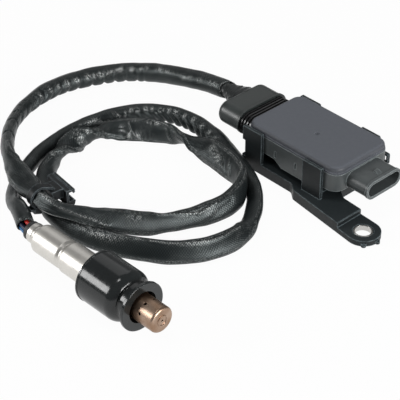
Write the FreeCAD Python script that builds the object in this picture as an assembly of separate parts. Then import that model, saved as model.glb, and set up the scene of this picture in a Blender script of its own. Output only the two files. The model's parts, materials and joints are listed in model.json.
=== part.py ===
import FreeCAD, Part
import math
import os

V = FreeCAD.Vector

# Frame: the origin is the centre of the mounting ear's hole, on the flat underside.
# +X runs along the control module towards its plug socket, +Y across it, +Z up. Millimetres.

# Control module: tray and lid. Its front end stays put, so a longer module reaches further back.
MODULE_LENGTH = 69.6
MODULE_WIDTH = 43.6
MODULE_FRONT_X = -22.9
MODULE_CORNER_R = 6.8
TRAY_BOTTOM_Z = 13.6
TRAY_TOP_Z = 24.2
TRAY_WALL = 2.9
TRAY_FLOOR = 1.8
RIM_WALL = 1.6
RIM_DEPTH = 2.7
SUMP_Z = 10.0
SUMP_FROM_REAR = (23.0, 28.5)
SUMP_FROM_FRONT = (17.6, 23.1)
SUMP_EDGE_R = 2.0
SUMP_WALL = 2.0
SIDE_SLOT = (1.0, 0.9, 3.9)
SIDE_SLOT_Z = 14.8
SIDE_SLOT_FROM_REAR = 23.7
SIDE_SLOT_FROM_FRONT = 30.4
LID_TOP_Z = 28.4
LID_INSET = 0.5
LID_LIP = (0.3, 1.1)
LID_PLATE = 2.2
LID_EDGE_R = 2.0
LID_TONGUE = (1.2, 2.0)
DIMPLE_R = 1.5
DIMPLE_DEPTH = 0.8
DIMPLE_FROM_MIDDLE = (1.8, -2.3)
SEAL_GAP = 0.1

# Plug socket at the front of the tray
SOCKET_LENGTH = 15.2
SOCKET_WIDTH = 27.4
SOCKET_HEIGHT = 10.5
SOCKET_MID_Z = 18.05
SOCKET_WALL = 1.35
SOCKET_FLOOR = 2.4
SOCKET_RIM = (0.35, 1.6)
KEY_RIB = (1.4, 1.2)
KEY_RECESS = 2.0
LATCH_NIB = (3.4, 3.0, 0.9)
LATCH_NIB_RECESS = 3.4
PIN_COUNT = 5
PIN_PITCH = 3.9
PIN_WIDTH = 1.5
PIN_THICKNESS = 0.8
PIN_RECESS = 4.9
PIN_ON_BOARD = 0.5
PIN_SLACK = 0.05

# Cable neck, rubber boot and its seal at the back of the tray
NECK_MID_Z = 19.25
NECK_HALF_H = 4.6
NECK_WIDTH = 32.8
NECK_LENGTH = 19.0
NECK_WALL = 1.7
BOOT_SLACK = 0.3
BOOT_WALL = 2.6
BOOT_LENGTH = 18.5
BOOT_BACK_R = 3.8
BOOT_RIM = (0.5, 1.4)
BOOT_HOLLOW = 5.0
BOOT_HOLLOW_STEP = 0.8
SEAL_WALL = 1.8
SEAL_LENGTH = 8.5
SEAL_FIT = 0.15
SEAL_GROOVE_COUNT = 3
SEAL_GROOVE = (1.2, 0.8)
WRAP_R = 4.5
WRAP_FIT = 0.15
WRAP_INSIDE = 3.0

# Circuit board and what it carries, placed from the board's middle
BOARD_GAP = (2.9, 1.4)
BOARD_T = 1.6
BOARD_CORNER_R = 1.5
POST_R = 2.2
POST_INSET = 4.0
CHIPS = ((-8.3, 6.0, 10.0, 10.0, 1.6), (7.7, -7.0, 7.0, 7.0, 1.2), (-16.3, -9.0, 6.0, 9.0, 2.0),
         (13.7, 9.0, 5.0, 6.0, 1.5), (-0.3, -7.0, 4.0, 5.0, 1.2))
CAPACITORS = ((-19.5, 2.5), (-19.5, 9.5), (19.5, -9.5))
CAPACITOR = (3.0, 4.6)
CAPACITOR_EDGE = 0.4

# Mounting bracket: base under the module, four towers that hold it, and the arm to the ear
BASE_TOP_Z = 6.4
BASE_PAST_REAR = 0.9
BASE_SHORT_OF_FRONT = 7.9
BASE_REAR_R = 1.5
BASE_FRONT_R = 1.0
JOG_X = (-53.5, -48.5)
JOG_Y = -3.9
JOG_R = 4.0
ARM_FAR_Y = 11.0
ARM_FLARE = (6.3, 4.4)
EAR_R = 9.7
EAR_TANGENTS = (-97.0, 85.5)
EAR_TOP_Z = 3.3
STEP_X = -11.0
STEP_R = 0.8
BOTTOM_WALL = 2.4
BOTTOM_SKIN = 2.0
RIBS_FROM_REAR = (15.5, 31.5)
RIBS_FROM_FRONT = (1.1, 15.1)
RIB_T = 2.0
TOWER_T = 1.9
TOWER_GAP = 0.3
TOWER_TOP_Z = 26.2
TOWER_ROOT = 0.5
REAR_TOWER = (0.2, 15.0)
FRONT_TOWER = (9.3, 23.1)
TOWER_NOTCH = (2.0, 17.2)
TOWER_EDGE_R = 0.8
SNAP_LIP = (0.45, 0.95)
SNAP_INSET = 1.5
SNAP_GAP = 0.05
SADDLE_FROM_REAR = 5.0
SADDLE_FROM_FRONT = 14.6
SADDLE_T = 3.0
LUG = (8.6, 6.7, 2.0)
LUG_Z = 11.6
LUG_ROOT = 1.0
LUG_SLOT = (2.3, 4.2)
LUG_END = 1.1
LUG_EDGE_R = 1.0
NUB_R = 1.4
NUB_H = 1.5
NUB_ANGLES = (-46.0, 4.0)
BUSH_OUT_R = 5.5
BUSH_BORE_R = 4.4
BUSH_FIT = 0.1
BUSH_CHAMFER = 0.25

# Probe: it lies on the floor on its cap's bead, beside the module. Lengths run from its collar to its tip.
PROBE_START = (-105.6, -137.8)
PROBE_YAW = 1.1
SHEET = 0.6
COLLAR_R = 5.65
COLLAR_END = 5.8
COLLAR_EDGE_R = 0.4
CRIMP = (3.2, 1.6, 0.4)
REAR_SHELL_R = 8.15
REAR_SHELL_END = 27.4
REAR_SHOULDER_R = 2.3
SHOULDER_DRAFT = 0.4
WAIST_DROP = 0.8
WAIST_TAPER = 1.6
WAIST_LENGTH = 1.0
WAIST_EDGE_R = 1.5
LAP_LENGTH = 5.0
FRONT_SHELL_R = 8.7
FRONT_SHELL_END = 52.3
FRONT_EDGE_R = 0.5
SHELL_LIP = 0.8
BODY_R = 7.5
BODY_PAST_LAP = 4.6
BODY_BORE_R = 5.6
BODY_SHOULDER = 2.0
SEAT_START = 75.6
SEAT_LENGTH = 3.4
SEAT_R = 8.9
SEAT_CONE = (1.4, 1.0)
UNION_SLACK = 0.4
UNION_PLAY = 0.3
HEX_AF = 22.0
HEX_LENGTH = 9.0
HEX_CHAMFER = 1.0
THREAD_R = 10.0
THREAD_CHAMFER = 1.0
CAP_WALL = 1.2
CAP_GRIP = 0.2
CAP_OVER_SHELL = 2.5
CAP_BEAD = (0.25, 1.0)
CAP_EDGE_R = 0.4
CAP_NECK_EDGE_R = 0.8
CAP_DOME_R = 6.5
CAP_DOME = (0.9, 1.1)
CAP_NECK_FIT = 0.3
CAP_DISC_R = 13.5
CAP_DISC_T = 2.0
CAP_DISC_PAST_SEAT = 2.8
CAP_DISC_HOLE_FIT = 0.95
TIP_R = 7.2
TIP_LENGTH = 18.8
TIP_EDGE_R = 1.5
TIP_FLARE = (0.6, 1.0)
TIP_FLARE_SLOPE = 0.3
TIP_HOLE_COUNT = 8
TIP_HOLE_R = 0.8
TIP_HOLES_AT = 9.8
TIP_END_HOLE_R = 0.6
TIP_RING = (2.6, 3.2, 0.35)
TIP_RING_DRAFT = 0.15
INNER_TUBE_R = 4.9
INNER_TUBE_LENGTH = 14.5
INNER_TUBE_WALL = 0.5
INNER_TUBE_FIT = 0.1
INNER_EDGE_R = 0.8
INNER_END_HOLE_R = 0.8
INNER_HOLE_COUNT = 6
INNER_HOLE_R = 0.7
INNER_HOLES_AT = 4.0
ELEMENT = (4.2, 1.3)
ELEMENT_SLACK = 0.15
ELEMENT_HOLE = 0.9
ELEMENT_PAST_SEAT = 12.5
ELEMENT_IN_CONTACTS = 5.5
STACK_FIT = 0.1
CERAMIC_INSET = 2.0
CERAMIC_FRONT_LENGTH = 17.0
TALC_LENGTH = 10.0
CONTACT_START = 13.5
CONTACT_LENGTH = 12.0
CONTACT_FIT = 0.1
CONTACT_BACK = 3.0
CONTACT_SLOT = (6.4, 3.9)
SPRING_W = 1.0
SPRING_T = 0.4
SPRING_GRIP = (1.0, 5.0)
SPRING_PITCH = 1.4

# Grommet and the six wires between the probe and the sleeve
GROMMET_LIP = 3.0
GROMMET_LIP_R = 5.3
GROMMET_FIT = 0.1
GROMMET_END = 9.0
GROMMET_EDGE_R = 0.5
WIRE_R = 1.0
WIRE_CIRCLE_R = 2.9
WIRE_HOLE = 0.1
WIRE_BEND_R = 14.9
WIRE_BEND = 27.0
WIRE_TURN = 30.0
WIRES = ("wire_white", "wire_red", "wire_navy", "wire_blue", "wire_black", "wire_grey")

# Sleeved cable, from the boot round two and a half loops to the probe
SLEEVE_R = 5.0
SLEEVE_GAP = 0.2
SLEEVE_LEAD = 12.0
BEND_SHARE = 0.45
ROUTE = (
    (-136.0, 27.5, 19.0), (-146.2, 27.5, 19.0), (-164.4, 22.8, 16.2), (-184.2, 17.7, 11.6),
    (-202.6, 9.6, 7.2), (-215.6, -4.0, 5.1), (-221.8, -22.4, 5.1), (-221.6, -42.3, 5.1),
    (-215.3, -61.4, 5.6), (-204.0, -77.7, 8.1), (-189.4, -91.0, 11.3), (-173.1, -102.3, 14.6),
    (-155.2, -111.8, 16.8), (-135.8, -117.2, 17.0), (-116.6, -119.4, 17.0), (-99.3, -112.4, 16.2),
    (-86.3, -97.7, 11.4), (-75.9, -80.0, 6.6), (-66.9, -60.6, 5.1), (-64.2, -41.0, 5.1),
    (-74.4, -25.9, 5.1), (-93.2, -17.6, 5.1), (-113.6, -14.4, 5.1), (-133.6, -17.0, 5.1),
    (-150.1, -28.0, 5.1), (-159.8, -45.8, 5.1), (-162.0, -66.5, 5.1), (-156.6, -86.1, 5.1),
    (-144.4, -102.4, 5.1), (-127.0, -112.8, 5.1), (-107.0, -116.2, 5.1), (-87.2, -111.8, 5.1),
    (-68.8, -102.4, 5.1), (-52.9, -89.3, 5.1), (-42.4, -72.2, 5.1), (-40.6, -52.4, 5.1),
    (-49.0, -35.5, 5.1), (-62.2, -20.6, 5.1), (-79.4, -10.4, 5.1), (-98.4, -3.9, 5.1),
    (-117.6, 1.2, 5.1), (-137.3, 3.2, 5.1), (-156.0, -1.9, 5.1), (-169.3, -16.2, 5.1),
    (-175.8, -35.3, 5.1), (-177.0, -55.7, 5.1), (-174.0, -75.7, 5.1), (-166.8, -94.6, 5.1),
    (-156.0, -111.8, 5.3), (-142.0, -124.4, 8.6),
)

# Cable tie and edge clip on the upper strand
TIE_AT = (-126.25, -118.27, 17.0)
TIE_YAW = -6.54
TIE_SLACK = 0.4
TIE_T = 1.2
TIE_WIDTH = 4.6
TIE_REACH = (6.0, 2.3, 1.0)
TIE_HEAD = (5.8, 4.8, 4.2)
TIE_HEAD_ANGLE = 250.0
TIE_HEAD_GAP = 0.15
TIE_HEAD_EDGE_R = 0.8
TIE_TAIL = (2.2, 1.6)
TIE_TAIL_ROOT = 0.5
CLIP_X = (-10.6, 8.6)
CLIP_Y = (11.8, 17.1)
CLIP_TOP = 3.0
CLIP_HEIGHT = 10.6
CLIP_WALL = 1.5
CLIP_LIP = (3.0, 1.1, 0.6)
CLIP_MOUTH = 3.7
CLIP_NOSE = (0.2, 1.0)
CLIP_FOOT = 0.6
CLIP_EDGE_R = (1.3, 0.6, 0.3)
CLIP_GROOVE = (1.8, 0.7, 0.4)
CLIP_BASE = (10.0, 5.6)
CLIP_BASE_GAP = 0.5
CLIP_SLOT_FIT = 0.2
BARB = (1.0, 0.7)
BARB_START = 2.0

# How far a cutter reaches past what it cuts
CUT_PAST = 1.0

# Places and sizes that follow from the ones above
MODULE_REAR_X = MODULE_FRONT_X - MODULE_LENGTH
MODULE_MID_X = MODULE_FRONT_X - MODULE_LENGTH / 2
BASE_WIDTH = MODULE_WIDTH + 2 * (TOWER_T + TOWER_GAP)
MODULE_MID_Y = BASE_WIDTH / 2
SIDE_Y = MODULE_MID_Y - MODULE_WIDTH / 2
SUMP_X = (MODULE_REAR_X + SUMP_FROM_REAR[0], MODULE_REAR_X + SUMP_FROM_REAR[1],
          MODULE_FRONT_X - SUMP_FROM_FRONT[1], MODULE_FRONT_X - SUMP_FROM_FRONT[0])
TRAY_FLOOR_Z = TRAY_BOTTOM_Z + TRAY_FLOOR
LEDGE_Z = TRAY_TOP_Z - RIM_DEPTH
SOCKET_TIP_X = MODULE_FRONT_X + SOCKET_LENGTH
SOCKET_TOP_Z = SOCKET_MID_Z + SOCKET_HEIGHT / 2
NECK_END_X = MODULE_REAR_X - NECK_LENGTH
BOOT_FRONT_X = MODULE_REAR_X - SEAL_LENGTH
BOOT_BACK_X = BOOT_FRONT_X - BOOT_LENGTH
WRAP_START_X, WRAP_Y, WRAP_Z = ROUTE[0]
BOARD_LENGTH = MODULE_LENGTH - 2 * (TRAY_WALL + BOARD_GAP[0])
BOARD_WIDTH = MODULE_WIDTH - 2 * (TRAY_WALL + BOARD_GAP[1])
PIN_TIP_X = SOCKET_TIP_X - PIN_RECESS
PIN_REAR_X = MODULE_MID_X + BOARD_LENGTH / 2 - PIN_ON_BOARD
PIN_BOTTOM_Z = SOCKET_MID_Z - PIN_THICKNESS / 2
BOARD_BOTTOM_Z = PIN_BOTTOM_Z - BOARD_T
BASE_REAR_X = MODULE_REAR_X - BASE_PAST_REAR
BASE_FRONT_X = MODULE_FRONT_X - BASE_SHORT_OF_FRONT
REAR_TOWER_X = (MODULE_REAR_X + REAR_TOWER[0], MODULE_REAR_X + REAR_TOWER[1])
FRONT_TOWER_X = (MODULE_FRONT_X - FRONT_TOWER[1], MODULE_FRONT_X - FRONT_TOWER[0])
RIB_X = [MODULE_REAR_X + x for x in RIBS_FROM_REAR] + [MODULE_FRONT_X - x for x in RIBS_FROM_FRONT]
SADDLE_X = (MODULE_REAR_X + SADDLE_FROM_REAR, MODULE_FRONT_X - SADDLE_FROM_FRONT)
WAIST_R = REAR_SHELL_R - WAIST_DROP
FRONT_SHELL_START = REAR_SHELL_END + WAIST_LENGTH
BODY_START = REAR_SHELL_END + LAP_LENGTH + BODY_PAST_LAP
SEAT_END = SEAT_START + SEAT_LENGTH
HEX_CORNER_R = HEX_AF / 2 / math.cos(math.radians(30))
UNION_START = FRONT_SHELL_END + UNION_PLAY
UNION_STOP = SEAT_START - UNION_PLAY
CAP_MOUTH_R = HEX_CORNER_R + CAP_GRIP
CAP_BODY_R = CAP_MOUTH_R + CAP_WALL
CAP_BEAD_R = CAP_BODY_R + CAP_BEAD[0]
CONTACT_END = CONTACT_START + CONTACT_LENGTH
ELEMENT_START = CONTACT_END - ELEMENT_IN_CONTACTS
ELEMENT_END = SEAT_END + ELEMENT_PAST_SEAT
CERAMIC_FRONT_START = SEAT_END - BODY_SHOULDER - CERAMIC_FRONT_LENGTH
TALC_START = CERAMIC_FRONT_START - TALC_LENGTH
STACK = (("ceramic_holder_rear", BODY_START + CERAMIC_INSET, TALC_START),
         ("talc_packing", TALC_START, CERAMIC_FRONT_START),
         ("ceramic_holder_front", CERAMIC_FRONT_START, SEAT_END - BODY_SHOULDER))
TIE_BORE_R = SLEEVE_R + TIE_SLACK


def box(x0, x1, y0, y1, z0, z1):
    return Part.makeBox(x1 - x0, y1 - y0, z1 - z0, V(x0, y0, z0))


def rounded_wire(corners, plane):
    """Closed wire through corners (a, b, radius), each rounded by its radius; plane turns (a, b) into a point."""
    count = len(corners)
    tangents = []
    for i in range(count):
        before, here, after = corners[i - 1], corners[i], corners[(i + 1) % count]
        a = V(before[0] - here[0], before[1] - here[1], 0).normalize()
        c = V(after[0] - here[0], after[1] - here[1], 0).normalize()
        point = V(here[0], here[1], 0)
        if here[2] <= 0:
            tangents.append((point, None, point))
            continue
        half = a.getAngle(c) / 2
        reach = here[2] / math.tan(half)
        middle = point + (a + c).normalize() * (here[2] / math.sin(half) - here[2])
        tangents.append((point + a * reach, middle, point + c * reach))
    edges = []
    for i in range(count):
        start, middle, end = tangents[i]
        if middle is not None:
            edges.append(Part.Arc(*[plane(p) for p in (start, middle, end)]).toShape())
        following = tangents[(i + 1) % count][0]
        if (following - end).Length > 1e-6:
            edges.append(Part.LineSegment(plane(end), plane(following)).toShape())
    return Part.Wire(edges)


def flat(z):
    return lambda p: V(p.x, p.y, z)


def side(y):
    return lambda p: V(p.x, y, p.y)


def end(x):
    return lambda p: V(x, p.x, p.y)


def prism(corners, plane, along):
    return Part.Face(rounded_wire(corners, plane)).extrude(along)


def rounded_block(x0, x1, y0, y1, radius, z0, z1):
    corners = [(x0, y0, radius), (x1, y0, radius), (x1, y1, radius), (x0, y1, radius)]
    return prism(corners, flat(z0), V(0, 0, z1 - z0))


def stadium(x, width, half_height, mid_z, length):
    """Slot-shaped prism along X on the module's middle line, starting at x."""
    y0, y1 = MODULE_MID_Y - width / 2, MODULE_MID_Y + width / 2
    z0, z1 = mid_z - half_height, mid_z + half_height
    round_r = half_height * 0.999
    corners = [(y0, z0, round_r), (y1, z0, round_r), (y1, z1, round_r), (y0, z1, round_r)]
    return prism(corners, end(x), V(length, 0, 0))


def module_outline(inset, z0, z1):
    x0, x1 = MODULE_REAR_X + inset, MODULE_FRONT_X - inset
    y0, y1 = SIDE_Y + inset, SIDE_Y + MODULE_WIDTH - inset
    return rounded_block(x0, x1, y0, y1, MODULE_CORNER_R - inset, z0, z1)


def board_posts():
    posts = []
    for sx in (-1, 1):
        for sy in (-1, 1):
            x = MODULE_MID_X + sx * (BOARD_LENGTH / 2 - POST_INSET)
            y = MODULE_MID_Y + sy * (BOARD_WIDTH / 2 - POST_INSET)
            height = BOARD_BOTTOM_Z - TRAY_FLOOR_Z
            posts.append(Part.makeCylinder(POST_R, height, V(x, y, TRAY_FLOOR_Z)))
    return posts


def pin_places():
    return [MODULE_MID_Y + (i - (PIN_COUNT - 1) / 2) * PIN_PITCH for i in range(PIN_COUNT)]


def pin_blade(mid_y, slack=0.0):
    y0, y1 = mid_y - PIN_WIDTH / 2 - slack, mid_y + PIN_WIDTH / 2 + slack
    z0, z1 = PIN_BOTTOM_Z - slack, PIN_BOTTOM_Z + PIN_THICKNESS + slack
    return box(PIN_REAR_X, PIN_TIP_X, y0, y1, z0, z1)


def tray_undercut(x_out, x_low, x_high):
    """Cutter under one end of the tray: it stops at the sump's foot x_low and slopes up to the floor at x_high."""
    low = SUMP_Z - CUT_PAST
    corners = [(x_out, low, 0), (x_low, low, 0), (x_low, SUMP_Z, SUMP_EDGE_R),
               (x_high, TRAY_BOTTOM_Z, SUMP_EDGE_R), (x_out, TRAY_BOTTOM_Z, 0)]
    return prism(corners, side(SIDE_Y - CUT_PAST), V(0, MODULE_WIDTH + 2 * CUT_PAST, 0))


def latch_nib():
    """Ramp on the socket that a plug's latch snaps over."""
    long, wide, tall = LATCH_NIB
    front, back = SOCKET_TIP_X - LATCH_NIB_RECESS, SOCKET_TIP_X - LATCH_NIB_RECESS - long
    foot, top = SOCKET_TOP_Z - SOCKET_WALL / 2, SOCKET_TOP_Z + tall
    corners = [(back, foot, 0), (front, foot, 0), (front, SOCKET_TOP_Z, 0), (back + long / 3, top, 0), (back, top, 0)]
    return prism(corners, side(MODULE_MID_Y - wide / 2), V(0, wide, 0))


def control_housing():
    tray = module_outline(0.0, SUMP_Z, TRAY_TOP_Z)
    tray = tray.cut([tray_undercut(MODULE_REAR_X - CUT_PAST, SUMP_X[1], SUMP_X[0]),
                     tray_undercut(MODULE_FRONT_X + CUT_PAST, SUMP_X[2], SUMP_X[3])])
    root = TRAY_WALL / 2
    socket = stadium(MODULE_FRONT_X - root, SOCKET_WIDTH, SOCKET_HEIGHT / 2, SOCKET_MID_Z, SOCKET_LENGTH + root)
    proud, wide = SOCKET_RIM
    rim = stadium(SOCKET_TIP_X - wide, SOCKET_WIDTH + 2 * proud, SOCKET_HEIGHT / 2 + proud, SOCKET_MID_Z, wide)
    neck = stadium(NECK_END_X, NECK_WIDTH, NECK_HALF_H, NECK_MID_Z, NECK_LENGTH + root)
    tray = tray.fuse([socket, rim, neck, latch_nib()])
    tray = tray.cut(module_outline(TRAY_WALL, TRAY_FLOOR_Z, TRAY_TOP_Z))
    tray = tray.cut(module_outline(RIM_WALL, LEDGE_Z, TRAY_TOP_Z + CUT_PAST))
    tray = tray.cut(box(SUMP_X[1] + SUMP_WALL, SUMP_X[2] - SUMP_WALL, SIDE_Y + TRAY_WALL,
                        SIDE_Y + MODULE_WIDTH - TRAY_WALL, SUMP_Z + SUMP_WALL, TRAY_FLOOR_Z + CUT_PAST))
    hollow = stadium(MODULE_FRONT_X + SOCKET_FLOOR, SOCKET_WIDTH - 2 * SOCKET_WALL,
                     SOCKET_HEIGHT / 2 - SOCKET_WALL, SOCKET_MID_Z, SOCKET_LENGTH)
    passage = stadium(NECK_END_X - CUT_PAST, NECK_WIDTH - 2 * NECK_WALL, NECK_HALF_H - NECK_WALL,
                      NECK_MID_Z, NECK_LENGTH + TRAY_WALL + 2 * CUT_PAST)
    tray = tray.cut([hollow, passage])
    key_wide, key_tall = KEY_RIB
    key_top = SOCKET_TOP_Z - SOCKET_WALL
    key = box(MODULE_FRONT_X + SOCKET_FLOOR, SOCKET_TIP_X - KEY_RECESS, MODULE_MID_Y - key_wide / 2,
              MODULE_MID_Y + key_wide / 2, key_top - key_tall, key_top + SOCKET_WALL / 2)
    tray = tray.fuse([key] + board_posts())
    tray = tray.cut([pin_blade(y, PIN_SLACK) for y in pin_places()])
    slot_wide, deep, tall = SIDE_SLOT
    for x in (MODULE_REAR_X + SIDE_SLOT_FROM_REAR, MODULE_FRONT_X - SIDE_SLOT_FROM_FRONT):
        for y in (SIDE_Y, SIDE_Y + MODULE_WIDTH):
            tray = tray.cut(box(x - slot_wide / 2, x + slot_wide / 2, y - deep, y + deep,
                                SIDE_SLOT_Z, SIDE_SLOT_Z + tall))
    return tray.removeSplitter()


def housing_lid():
    lip, lip_height = LID_LIP
    lower = module_outline(LID_INSET - lip, TRAY_TOP_Z, TRAY_TOP_Z + lip_height)
    upper = module_outline(LID_INSET, TRAY_TOP_Z, LID_TOP_Z)
    rim = [e for e in upper.Edges if min(v.Z for v in e.Vertexes) > LID_TOP_Z - 0.01]
    wall, depth = LID_TONGUE
    inset = RIM_WALL + SEAL_GAP
    tongue = module_outline(inset, TRAY_TOP_Z - depth, TRAY_TOP_Z + lip_height)
    lid = upper.makeFillet(LID_EDGE_R, rim).fuse([lower, tongue])
    lid = lid.cut(module_outline(inset + wall, TRAY_TOP_Z - depth - CUT_PAST, LID_TOP_Z - LID_PLATE))
    ball_r = (DIMPLE_R ** 2 + DIMPLE_DEPTH ** 2) / (2 * DIMPLE_DEPTH)
    x, y = MODULE_MID_X + DIMPLE_FROM_MIDDLE[0], MODULE_MID_Y + DIMPLE_FROM_MIDDLE[1]
    dimple = Part.makeSphere(ball_r, V(x, y, LID_TOP_Z - DIMPLE_DEPTH + ball_r))
    return lid.cut(dimple).removeSplitter()


def lid_seal():
    wall, depth = LID_TONGUE
    inset = RIM_WALL + SEAL_GAP
    outer = module_outline(inset, LEDGE_Z, TRAY_TOP_Z - depth)
    return outer.cut(module_outline(inset + wall, LEDGE_Z - CUT_PAST, TRAY_TOP_Z))


def circuit_board():
    x0, y0 = MODULE_MID_X - BOARD_LENGTH / 2, MODULE_MID_Y - BOARD_WIDTH / 2
    return rounded_block(x0, x0 + BOARD_LENGTH, y0, y0 + BOARD_WIDTH, BOARD_CORNER_R,
                         BOARD_BOTTOM_Z, BOARD_BOTTOM_Z + BOARD_T)


def board_chips():
    top = BOARD_BOTTOM_Z + BOARD_T
    chips = []
    for from_x, from_y, long, wide, tall in CHIPS:
        x, y = MODULE_MID_X + from_x, MODULE_MID_Y + from_y
        chips.append(box(x - long / 2, x + long / 2, y - wide / 2, y + wide / 2, top, top + tall))
    return Part.makeCompound(chips)


def board_capacitors():
    radius, height = CAPACITOR
    top = BOARD_BOTTOM_Z + BOARD_T
    cans = []
    for from_x, from_y in CAPACITORS:
        can = Part.makeCylinder(radius, height, V(MODULE_MID_X + from_x, MODULE_MID_Y + from_y, top))
        rim = [e for e in can.Edges if e.BoundBox.ZMin > top + height - 0.01]
        cans.append(can.makeFillet(CAPACITOR_EDGE, rim))
    return Part.makeCompound(cans)


def connector_pins():
    pins = []
    for y in pin_places():
        blade = pin_blade(y)
        tip = [e for e in blade.Edges if e.BoundBox.XMin > PIN_TIP_X - 0.01]
        pins.append(blade.makeChamfer(PIN_THICKNESS * 0.3, tip))
    return Part.makeCompound(pins)


def cable_boot():
    width, half_h = NECK_WIDTH + 2 * BOOT_WALL, NECK_HALF_H + BOOT_WALL
    shell = stadium(BOOT_BACK_X, width, half_h, NECK_MID_Z, BOOT_LENGTH)
    back = [e for e in shell.Edges if e.BoundBox.XMax < BOOT_BACK_X + 0.01]
    shell = shell.makeFillet(BOOT_BACK_R, back)
    proud, wide = BOOT_RIM
    shell = shell.fuse(stadium(BOOT_FRONT_X - wide, width + 2 * proud, half_h + proud, NECK_MID_Z, wide))
    room = stadium(NECK_END_X, NECK_WIDTH + 2 * BOOT_SLACK, NECK_HALF_H + BOOT_SLACK, NECK_MID_Z, BOOT_LENGTH)
    hole = Part.makeCylinder(WRAP_R + WRAP_FIT, BOOT_LENGTH, V(BOOT_BACK_X - CUT_PAST, WRAP_Y, WRAP_Z), V(1, 0, 0))
    hollow = stadium(BOOT_BACK_X + BOOT_HOLLOW, NECK_WIDTH - 2 * BOOT_HOLLOW_STEP, NECK_HALF_H - BOOT_HOLLOW_STEP,
                     NECK_MID_Z, BOOT_LENGTH)
    return shell.cut([room, hole, hollow]).removeSplitter()


def boot_seal():
    wide, half_h = NECK_WIDTH + 2 * SEAL_WALL, NECK_HALF_H + SEAL_WALL
    ring = stadium(BOOT_FRONT_X, wide, half_h, NECK_MID_Z, SEAL_LENGTH)
    groove, deep = SEAL_GROOVE
    for i in range(1, SEAL_GROOVE_COUNT + 1):
        x = BOOT_FRONT_X + i * SEAL_LENGTH / (SEAL_GROOVE_COUNT + 1) - groove / 2
        band = stadium(x, wide + 2 * CUT_PAST, half_h + CUT_PAST, NECK_MID_Z, groove)
        core = stadium(x, wide - 2 * deep, half_h - deep, NECK_MID_Z, groove)
        ring = ring.cut(band.cut(core))
    bore = stadium(BOOT_FRONT_X - CUT_PAST, NECK_WIDTH + 2 * SEAL_FIT, NECK_HALF_H + SEAL_FIT, NECK_MID_Z,
                   SEAL_LENGTH + 2 * CUT_PAST)
    return ring.cut(bore)


def boot_wrap():
    length = BOOT_BACK_X + WRAP_INSIDE - WRAP_START_X
    return Part.makeCylinder(WRAP_R, length, V(WRAP_START_X, WRAP_Y, WRAP_Z), V(1, 0, 0))


def base_outline():
    """Corners of the bracket in plan, from the back round the near side to the ear's tangent points."""
    near, far = [(EAR_R * math.cos(math.radians(a)), EAR_R * math.sin(math.radians(a)), 0) for a in EAR_TANGENTS]
    flare_x, flare_y = ARM_FLARE
    return [(BASE_REAR_X, 0, BASE_REAR_R), (JOG_X[0], 0, JOG_R), (JOG_X[1], JOG_Y, JOG_R), near, far,
            (BASE_FRONT_X + flare_x, ARM_FAR_Y, JOG_R), (BASE_FRONT_X, ARM_FAR_Y + flare_y, BASE_FRONT_R),
            (BASE_FRONT_X, BASE_WIDTH, BASE_FRONT_R), (BASE_REAR_X, BASE_WIDTH, BASE_REAR_R)]


def tower(x_span, y, notched):
    x0, x1 = x_span
    foot = BASE_TOP_Z - TOWER_ROOT
    corners = [(x1, foot, 0), (x1, TOWER_TOP_Z, TOWER_EDGE_R), (x0, TOWER_TOP_Z, TOWER_EDGE_R)]
    if notched:
        notch, high = TOWER_NOTCH
        corners += [(x0, high, 0), (x0 + notch, high, 0), (x0 + notch, foot, 0)]
    else:
        corners.append((x0, foot, 0))
    return prism(corners, side(y), V(0, TOWER_T, 0))


def snap_lip(x_span, y_face, inward):
    """Wedge on a tower's inner face that holds the tray down by its rim."""
    reach, height = SNAP_LIP
    low = TRAY_TOP_Z + SNAP_GAP
    x0, x1 = x_span[0] + SNAP_INSET, x_span[1] - SNAP_INSET
    points = [V(x0, y_face, low), V(x0, y_face + inward * reach, low), V(x0, y_face, low + height)]
    return Part.Face(Part.makePolygon(points + points[:1])).extrude(V(x1 - x0, 0, 0))


def lug():
    """Slotted lug beside the far front tower."""
    long, tall, thick = LUG
    x0, y0 = FRONT_TOWER_X[1] - LUG_ROOT, BASE_WIDTH - TOWER_T
    x1, z1 = x0 + long, LUG_Z + tall
    corners = [(x0, LUG_Z, 0), (x1, LUG_Z, LUG_EDGE_R), (x1, z1, LUG_EDGE_R), (x0, z1, 0)]
    wide, high = LUG_SLOT
    slot_x, slot_z = x1 - LUG_END - wide, LUG_Z + (tall - high) / 2
    slot = box(slot_x, slot_x + wide, y0 - CUT_PAST, y0 + thick + CUT_PAST, slot_z, slot_z + high)
    return prism(corners, side(y0), V(0, thick, 0)).cut(slot)


def bottom_hollow():
    """Pockets in the underside, between the outer wall and the stiffening ribs."""
    floor = Part.Face(rounded_wire(base_outline(), flat(-CUT_PAST)))
    pocket = floor.makeOffset2D(-BOTTOM_WALL).extrude(V(0, 0, BASE_TOP_Z - BOTTOM_SKIN + CUT_PAST))
    room = pocket.BoundBox
    pocket = pocket.common(box(room.XMin, STEP_X - BOTTOM_WALL, room.YMin, room.YMax, room.ZMin, room.ZMax))
    ribs = [box(x - RIB_T / 2, x + RIB_T / 2, room.YMin, room.YMax, room.ZMin, room.ZMax) for x in RIB_X]
    ribs.append(box(room.XMin, BASE_FRONT_X, MODULE_MID_Y - RIB_T / 2, MODULE_MID_Y + RIB_T / 2,
                    room.ZMin, room.ZMax))
    return pocket.cut(ribs)


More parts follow.
